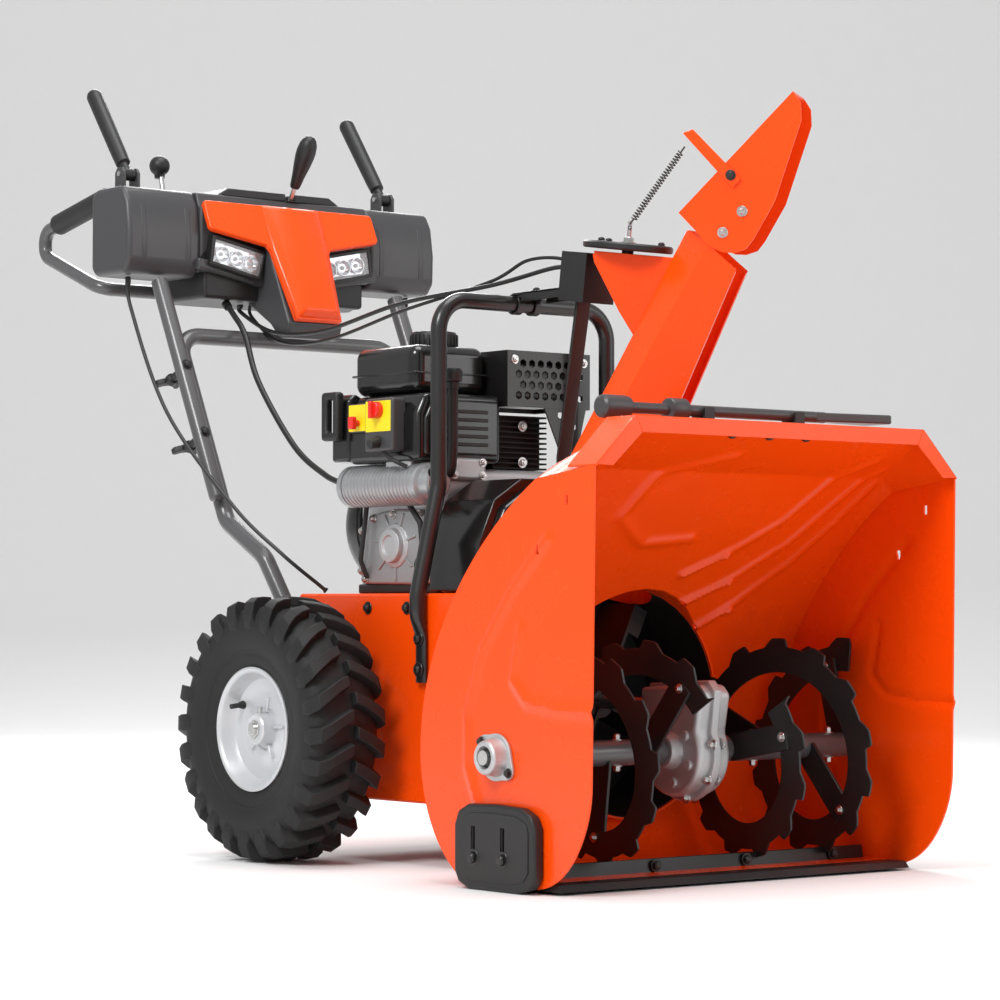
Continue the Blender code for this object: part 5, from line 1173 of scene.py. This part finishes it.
def console():
    up, out, start = Vector((0, 0.421, 0.907)), Vector((0, -0.907, 0.421)), Vector((0, 0.299, 0.79))
    panel_frame = Matrix.Translation(start) @ Matrix((Vector((1, 0, 0)), up, out)).transposed().to_4x4()
    outline = [(-0.0415, 0.0), (0.0415, 0.0), (0.043, 0.002), (0.0545, 0.12), (0.06, 0.1285), (0.154, 0.1485),
               (0.158, 0.153), (0.158, 0.1955), (0.154, 0.1995), (-0.154, 0.1995), (-0.158, 0.1955),
               (-0.158, 0.153), (-0.154, 0.1485), (-0.06, 0.1285), (-0.0545, 0.12), (-0.043, 0.002)]
    prism("panel_face", outline, "Z", -0.0098, -0.0001, ORANGE, "chassis", 0.0046, 6, ("console_panel",), panel_frame)
    # the middle of the panel stands proud as a wedge, with a facet down each side
    base = [(-0.055, 0.199), (0.055, 0.199), (0.053, 0.118), (0.0405, 0.003), (-0.0405, 0.003),
            (-0.053, 0.118)]
    crest = [(-0.037, 0.19), (0.037, 0.19), (0.037, 0.115), (0.029, 0.013), (-0.029, 0.013),
             (-0.037, 0.115)]

    def wedge(bm):
        low = [bm.verts.new(panel_frame @ Vector((x, y, -0.006))) for x, y in base]
        middle = [bm.verts.new(panel_frame @ Vector((x, y, 0.001))) for x, y in base]
        high = [bm.verts.new(panel_frame @ Vector((x, y, 0.0105))) for x, y in crest]
        for one, two in ((low, middle), (middle, high)):
            for k in range(6):
                bm.faces.new((one[k], one[(k + 1) % 6], two[(k + 1) % 6], two[k]))
        bm.faces.new(low)
        bm.faces.new(high)
    make("panel_wedge", ORANGE, "chassis", wedge, bevel=0.0042, segments=5)

    wide = [(0.3895, 0.866), (0.3895, 0.957), (0.3955, 0.9665), (0.401, 0.9825), (0.405, 0.9838), (0.536, 0.9838),
            (0.54, 0.98), (0.54, 0.866), (0.536, 0.862), (0.3935, 0.862)]
    shell = prism("console_shell", wide, "X", -0.1595, 0.1595, GREY_PLASTIC, "chassis", 0.004, 4, ("console_body",))
    nose = [(0.316, 0.762), (0.3095, 0.785), (0.3935, 0.966), (0.42, 0.966), (0.42, 0.82), (0.36, 0.785),
            (0.336, 0.762)]
    prism("console_nose", nose, "X", -0.0505, 0.0505, GREY_PLASTIC, "chassis", 0.004, 4)
    cut(shell, lambda bm: lever_slots(bm, 0.014, 0.026, 0.4025))
    for side, sign in SIDES:
        # a wing from the middle out to its pod, with the folded edge under it
        wing = [(sign * 0.045, 0.905), (sign * 0.15, 0.892), (sign * 0.16, 0.88), (sign * 0.16, 0.962),
                (sign * 0.045, 0.962)]
        prism(f"wing_face_{side}", wing, "Y", 0.386, 0.4, GREY_PLASTIC, "chassis", 0.004, 4)
        edge = [(sign * 0.04, 0.842), (sign * 0.168, 0.866), (sign * 0.168, 0.882), (sign * 0.04, 0.862)]
        prism(f"wing_edge_{side}", edge, "Y", 0.379, 0.399, GREY_PLASTIC, "chassis", 0.0035, 4)
    rounded_box("console_tray", (-0.15, 0.392, 0.822), (0.15, 0.526, 0.868), BLACK_PLASTIC, "chassis", 0.006, 4)

    cap = prism("console_cap", [(-0.118, 0.9825), (-0.095, 0.996), (0.095, 0.996), (0.118, 0.9825)], "Y", 0.408,
                0.526, BLACK_PLASTIC, "chassis", 0.003, 4)
    cut(cap, lever_slots)

    def rims(bm):
        add_box(bm, (0.008, 0.398, 0.9825), (0.032, 0.492, 0.9838))
        add_box(bm, (-0.1505, 0.466, 0.9825), (-0.1255, 0.535, 0.9838))
    trim = make("slot_rims", BLACK_PLASTIC, "chassis", rims, bevel=0.0005)
    cut(trim, lever_slots)
    for side, sign in SIDES:
        pods_and_lamps(side, sign)
        lever(side, sign)
        grip(side, sign)
    half = [(-GRIP_X, *GRIP_START), (-GRIP_X, *GRIP_BEND), (-GRIP_X, GRIP_BEND[0], 0.906), (-GRIP_X, 0.543, 0.842)]
    path = bent(half + [(-x, y, z) for x, y, z in reversed(half)], 0.022, 10)
    tube("grip_loop", path, 0.0104, GUNMETAL, "chassis", ("grip_tube",), 28)
    sticks()


def lever_slots(bm, low=0.0125, high=0.0275, front=0.4):
    """The slots that the speed lever and the chute stick come through."""
    add_box(bm, (low, front, 0.905), (high, 0.486, 1.0))
    add_box(bm, (-0.146, 0.47, 0.905), (-0.13, 0.531, 1.0))


def pods_and_lamps(side, sign):
    low, high = sorted((sign * 0.1588, sign * 0.2885))
    section = [(0.402, 0.852), (0.3875, 0.87), (0.3862, 0.915), (0.393, 0.96), (0.406, 0.983),
               (0.418, 0.985), (0.48, 0.985), (0.494, 0.976), (0.494, 0.864), (0.484, 0.852)]
    prism(f"pod_{side}", section, "X", low, high, GREY_PLASTIC, "chassis", 0.0105, 6)

    def flutes(bm, sign=sign):
        for k in range(2):
            x = sign * (0.178 + 0.078 * k)
            low_x, high_x = sorted((x, x + sign * 0.0085))
            add_prism(bm, [(0.3885, 0.872), (0.386, 0.88), (0.3856, 0.914), (0.391, 0.954), (0.3975, 0.966),
                           (0.4, 0.96), (0.396, 0.915), (0.394, 0.874)], "X", low_x, high_x)
    make(f"pod_flutes_{side}", GREY_PLASTIC, "chassis", flutes, bevel=0.0011, segments=3)

    def cheeks(bm, sign=sign):
        for cheek in (0.2265, 0.2515):
            edges = sorted((sign * cheek, sign * (cheek + 0.005)))
            add_prism(bm, [(0.452, 0.975), (0.478, 0.975), (0.478, 1.012), (0.472, 1.02), (0.458, 1.02),
                           (0.452, 1.012)], "X", edges[0], edges[1])
    make(f"lever_cheeks_{side}", GREY_PLASTIC, "chassis", cheeks, bevel=0.0016, segments=3)

    # the lamp sits under the wing, a slanted bezel with a row of round reflectors behind one lens
    bezel = [(sign * 0.049, 0.898), (sign * 0.147, 0.918), (sign * 0.153, 0.8715), (sign * 0.06, 0.851)]
    inner = [(sign * 0.055, 0.893), (sign * 0.142, 0.9108), (sign * 0.147, 0.8768), (sign * 0.0645, 0.8585)]
    frame_piece = prism(f"lamp_bezel_{side}", bezel, "Y", 0.37, 0.3925, BLACK_PLASTIC, "chassis", 0.003, 4)
    cut(frame_piece, lambda bm: add_prism(bm, inner, "Y", 0.36, 0.386))
    spots = [(sign * (0.0745 + 0.0262 * k), 0.8782 + 0.0054 * k) for k in range(3)]

    def reflectors(bm, sign=sign):
        for x, z in spots:
            add_lathe(bm, [(0.002, -0.001), (0.005, 0.0004), (0.009, 0.0034), (0.0118, 0.008),
                           (0.0127, 0.008), (0.0127, -0.0022), (0.002, -0.0022)],
                      along_axis((0, -1, 0), (x, 0.3835, z)), 18)
        add_prism(bm, [(x * 0.998, z) for x, z in inner], "Y", 0.3815, 0.3865)
    make(f"lamp_reflectors_{side}", CHROME, "chassis", reflectors)

    def emitters(bm):
        for x, z in spots:
            add_lathe(bm, [(0.0, 0.0002), (0.0034, 0.0002), (0.0031, 0.0026), (0.0, 0.004)],
                      along_axis((0, -1, 0), (x, 0.3815, z)), 24)
    make(f"lamp_emitters_{side}", LABEL, "chassis", emitters)
    prism(f"lamp_lens_{side}", inner, "Y", 0.372, 0.373, LENS, "chassis", 0.0003, 1)


def lever(side, sign):
    pivot, tip = Vector((sign * GRIP_X, 0.465, 1.01)), Vector((sign * GRIP_X, 0.569, 1.15))
    length = (tip - pivot).length
    place = Matrix.Translation(pivot) @ (tip - pivot).to_track_quat("Z", "Y").to_matrix().to_4x4()
    profile = [(0.0, 0.006), (0.0068, 0.006), (0.0068, 0.02), (0.0112, 0.0225), (0.0118, 0.04),
               (0.0122, 0.09)]
    for k in range(7):
        t = math.pi / 2 * k / 6
        profile.append((0.0125 * math.cos(t), length - 0.0125 + 0.0125 * math.sin(t)))
    make(f"lever_arm_{side}", BLACK_PLASTIC, f"{'auger' if side == 'left' else 'drive'}_lever",
         lambda bm: add_lathe(bm, profile, place, 40), (f"lever_{side}",), bevel=0.0006)
    hub = [(0.0, -0.009), (0.0088, -0.009), (0.0095, -0.0082), (0.0095, 0.0082), (0.0088, 0.009), (0.0, 0.009)]
    lathe(f"lever_hub_{side}", hub, "X", pivot, BLACK_PLASTIC, f"{'auger' if side == 'left' else 'drive'}_lever")
    pin = [(0.0, -0.017), (0.004, -0.017), (0.004, 0.017), (0.0, 0.017)]
    lathe(f"lever_pin_{side}", pin, "X", pivot, STEEL, "chassis", sides=24)


def grip(side, sign):
    head = Vector((sign * GRIP_X, *GRIP_START))
    along = (Vector((sign * GRIP_X, *GRIP_BEND)) - head).normalized()
    place = Matrix.Translation(head + along * 0.024) @ along.to_track_quat("Z", "Y").to_matrix().to_4x4()
    profile = [(0.0112, 0.0), (0.015, 0.0), (0.0163, 0.0015), (0.0165, 0.004), (0.0165, 0.144),
               (0.0163, 0.1465), (0.015, 0.148), (0.0112, 0.148)]
    make(f"grip_{side}_foam", GRIP_RUBBER, "chassis", lambda bm: add_lathe(bm, profile, place, 56), (f"grip_{side}",))


def sticks():
    pivot, tip = Vector((0.02, 0.449, 0.915)), Vector((0.02, 0.352, 1.08))
    back = (tip - pivot).normalized()
    place = Matrix.Translation(pivot) @ back.to_track_quat("Z", "Y").to_matrix().to_4x4()
    knob = [(0.0, 0.104), (0.0068, 0.104), (0.0082, 0.108), (0.01, 0.124), (0.013, 0.142), (0.0148, 0.156),
            (0.0152, 0.166), (0.0138, 0.1775), (0.0105, 0.1855), (0.006, 0.19), (0.0, 0.1915)]
    make("speed_handle", BLACK_PLASTIC, "speed_selector", lambda bm: add_lathe(bm, knob, place, 56), ("speed_lever",))
    make("speed_rod", STEEL, "speed_selector", lambda bm: add_rod(bm, pivot, pivot + back * 0.112, 0.0038, 24))
    base = Vector((-0.138, 0.505, 0.915))
    top = base + Vector((0, 0.0305, 0.118))
    make("stick_rod", STEEL, "chute_control", lambda bm: add_rod(bm, base, top, 0.0041, 24), ("chute_stick",))
    centre = base + Vector((0, 0.032, 0.125))
    ball = [(0.0, -0.016)]
    for k in range(1, 20):
        t = -math.pi / 2 + math.pi * k / 20
        ball.append((0.016 * math.cos(t), 0.016 * math.sin(t)))
    ball.append((0.0, 0.016))
    lathe("stick_ball", ball, "Z", centre, BLACK_PLASTIC, "chute_control")
    lathe("stick_collar", [(0.0045, -0.02), (0.0078, -0.02), (0.0088, -0.012), (0.0045, -0.012)], "Z", centre,
          GLOSS_PLASTIC, "chute_control")


# ---- cables and tool ---------------------------------------------------------------------------------
def cables():
    head = STRAIGHT @ Vector((-0.1065, 0.0, 0.3))
    routes = {
        "cable_chute": ([
            (0.0, head.y + 0.002, head.z + 0.008), (-0.012, -0.27, 0.822), (-0.03, -0.16, 0.806),
            (-0.055, 0.02, 0.792), (-0.06, 0.2, 0.765), (-0.062, 0.33, 0.77), (-0.062, 0.42, 0.806),
            (-0.062, 0.424, 0.819),
        ], 0.0032),
        "cable_auger_clutch": ([
            (0.262, 0.43, 0.8495), (0.262, 0.42, 0.8), (0.255, 0.33, 0.64), (0.225, 0.2, 0.5),
            (0.195, 0.12, 0.43), (0.15, 0.09, 0.385), (0.14, 0.085, 0.376),
        ], 0.0028),
        "cable_drive_clutch": ([
            (-0.262, 0.43, 0.8495), (-0.262, 0.42, 0.8), (-0.255, 0.33, 0.64), (-0.225, 0.2, 0.5),
            (-0.195, 0.12, 0.43), (-0.15, 0.09, 0.385), (-0.14, 0.085, 0.376),
        ], 0.0028),
        "wire_harness": ([
            (-0.1, 0.408, 0.818), (-0.1, 0.385, 0.798), (-0.103, 0.35, 0.765), (-0.112, 0.3, 0.69),
            (-0.124, 0.19, 0.59), (-0.126, 0.11, 0.545), (-0.127, 0.06, 0.53), (-0.128, 0.043, 0.526),
        ], 0.0045),
    }
    twin = smooth_route([
        (0.014, head.y + 0.006, head.z + 0.002), (0.006, -0.275, 0.835), (-0.01, -0.215, 0.838),
        (-0.026, -0.15, 0.812),
        (-0.048, 0.02, 0.783), (-0.052, 0.2, 0.752), (-0.05, 0.33, 0.756), (-0.046, 0.415, 0.8),
        (-0.046, 0.42, 0.823),
    ], 14)
    tube("cable_chute_return", twin, 0.0026, CABLE, "chassis", (), 18)
    for name, (points, radius) in routes.items():
        path = smooth_route(points, 14)
        tube(f"{name}_jacket", path, radius, CABLE, "chassis", (name,), 20)
        for tag, index, way in (("start", 0, 1), ("end", -1, -1)):
            lead = path[::way][:6]
            tube(f"{name}_{tag}", lead, radius * 1.5, CABLE, "chassis", (), 20)


def clean_out_tool():
    y, z = TOOL_LINE
    profile = [(0.0, -0.244), (0.011, -0.244), (0.0142, -0.2415), (0.015, -0.237), (0.015, -0.205),
               (0.0142, -0.2), (0.01, -0.197), (0.0074, -0.195), (0.0074, -0.133), (0.014, -0.131),
               (0.015, -0.129), (0.015, -0.105), (0.014, -0.103), (0.0074, -0.101), (0.0074, 0.145),
               (0.0, 0.145)]
    lathe("tool_bar", profile, "X", (0, y, z), GREY_PLASTIC, "tool", ("clean_out_tool",), 48)
    blade = [(0.125, -0.0074), (0.15, -0.011), (0.246, -0.026), (0.25, -0.0225), (0.25, 0.0225),
             (0.246, 0.026), (0.15, 0.011), (0.125, 0.0074)]
    prism("tool_blade", [(x, y + across) for x, across in blade], "Z", z - 0.006, z + 0.006, GREY_PLASTIC, "tool",
          0.0022, 4)

    def clips(bm):
        for x in (-0.07, 0.09):
            side = [(y - 0.0138, 0.56), (y - 0.0138, z + 0.005), (y - 0.0085, z + 0.005), (y - 0.0082, z - 0.0078),
                    (y + 0.0082, z - 0.0078), (y + 0.0085, z + 0.005), (y + 0.0138, z + 0.005), (y + 0.0138, 0.56)]
            add_prism(bm, side, "X", x - 0.008, x + 0.008)
    make("tool_clips", BLACK_PLASTIC, "chassis", clips, bevel=0.001)


# ---- frame pieces that keep their CAD shape, the floor, the light and the camera ---------------------
def dress_frame():
    finishes = {
        "auger_shaft": STEEL, "impeller_shaft": STEEL, "impeller": BLACK_STEEL, "crankshaft": STEEL,
        "drive_plate": STEEL, "friction_shaft": STEEL, "axle": STEEL, "auger_belt": RUBBER,
        "impeller_drum": ORANGE, "tractor_frame": ORANGE, "belt_cover": GLOSS_PLASTIC,
    }
    for name, material in finishes.items():
        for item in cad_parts[name].material_slots:
            item.material = material


def add_light(name, location, target, size, power):
    data = bpy.data.lights.new(name, "AREA")
    data.shape = "DISK"
    data.size, data.energy = size, power
    obj = bpy.data.objects.new(name, data)
    bpy.context.scene.collection.objects.link(obj)
    obj.location = location
    obj.rotation_euler = (Vector(target) - Vector(location)).to_track_quat("-Z", "Y").to_euler()


def studio():
    """A pale sweep that runs from the floor up behind the machine, seen from the front right."""
    away = Matrix.Rotation(math.radians(-38.85), 4, "Z")
    section = [(-30.0, 0.0), (4.0, 0.0)] + [
        (4.0 + 3.0 * math.sin(math.radians(5 * k)), 3.0 - 3.0 * math.cos(math.radians(5 * k))) for k in range(1, 19)
    ] + [(7.0, 14.0)]
    mesh = bpy.data.meshes.new("floor")
    verts = [away @ Vector((x, y, z)) for y, z in section for x in (-16, 16)]
    faces = [(2 * k, 2 * k + 1, 2 * k + 3, 2 * k + 2) for k in range(len(section) - 1)]
    mesh.from_pydata([tuple(v) for v in verts], [], faces)
    mesh.shade_smooth()
    floor = bpy.data.objects.new("floor", mesh)
    bpy.context.scene.collection.objects.link(floor)
    floor.data.materials.append(surface("pale_floor", (0.86, 0.86, 0.86), 0.8, 60.0, 0.01, 0.03, 0.01))
    world = bpy.data.worlds.new("studio")
    world.use_nodes = True
    background = world.node_tree.nodes["Background"]
    background.inputs["Color"].default_value = (1.0, 1.0, 1.0, 1)
    background.inputs["Strength"].default_value = 0.55
    bpy.context.scene.world = world
    add_light("key", (-3.6, -1.6, 3.4), (0, -0.1, 0.5), 1.6, 135)
    add_light("fill", (2.6, -3.6, 1.8), (0, 0, 0.5), 2.4, 28)
    add_light("rim", (1.8, 3.0, 3.0), (0, 0, 0.6), 2.0, 90)
    add_light("top", (0.0, -0.6, 4.2), (0, 0, 0.5), 2.6, 90)
    data = bpy.data.cameras.new("camera")
    data.lens, data.sensor_width = 112.8, 36.0
    data.clip_end = 60
    camera = bpy.data.objects.new("camera", data)
    bpy.context.scene.collection.objects.link(camera)
    camera.location = (-2.7791, -3.5901, 0.3587)
    camera.rotation_euler = (math.radians(90 + 1.8863), math.radians(-0.07), math.radians(-38.8517))
    bpy.context.scene.camera = camera
    bpy.context.scene.view_settings.view_transform = "Standard"


def build():
    studio()
    dress_frame()
    for side, sign in SIDES:
        embossed_plate(side, sign)
    housing_wrap()
    front_lip()
    scraper()
    auger_bearings()
    skids()
    augers()
    auger_gearbox()
    wheels()
    drum_and_frame()
    covers()
    engine()
    guard_bar()
    chute()
    chute_support()
    handles()
    console()
    cables()
    clean_out_tool()


build()
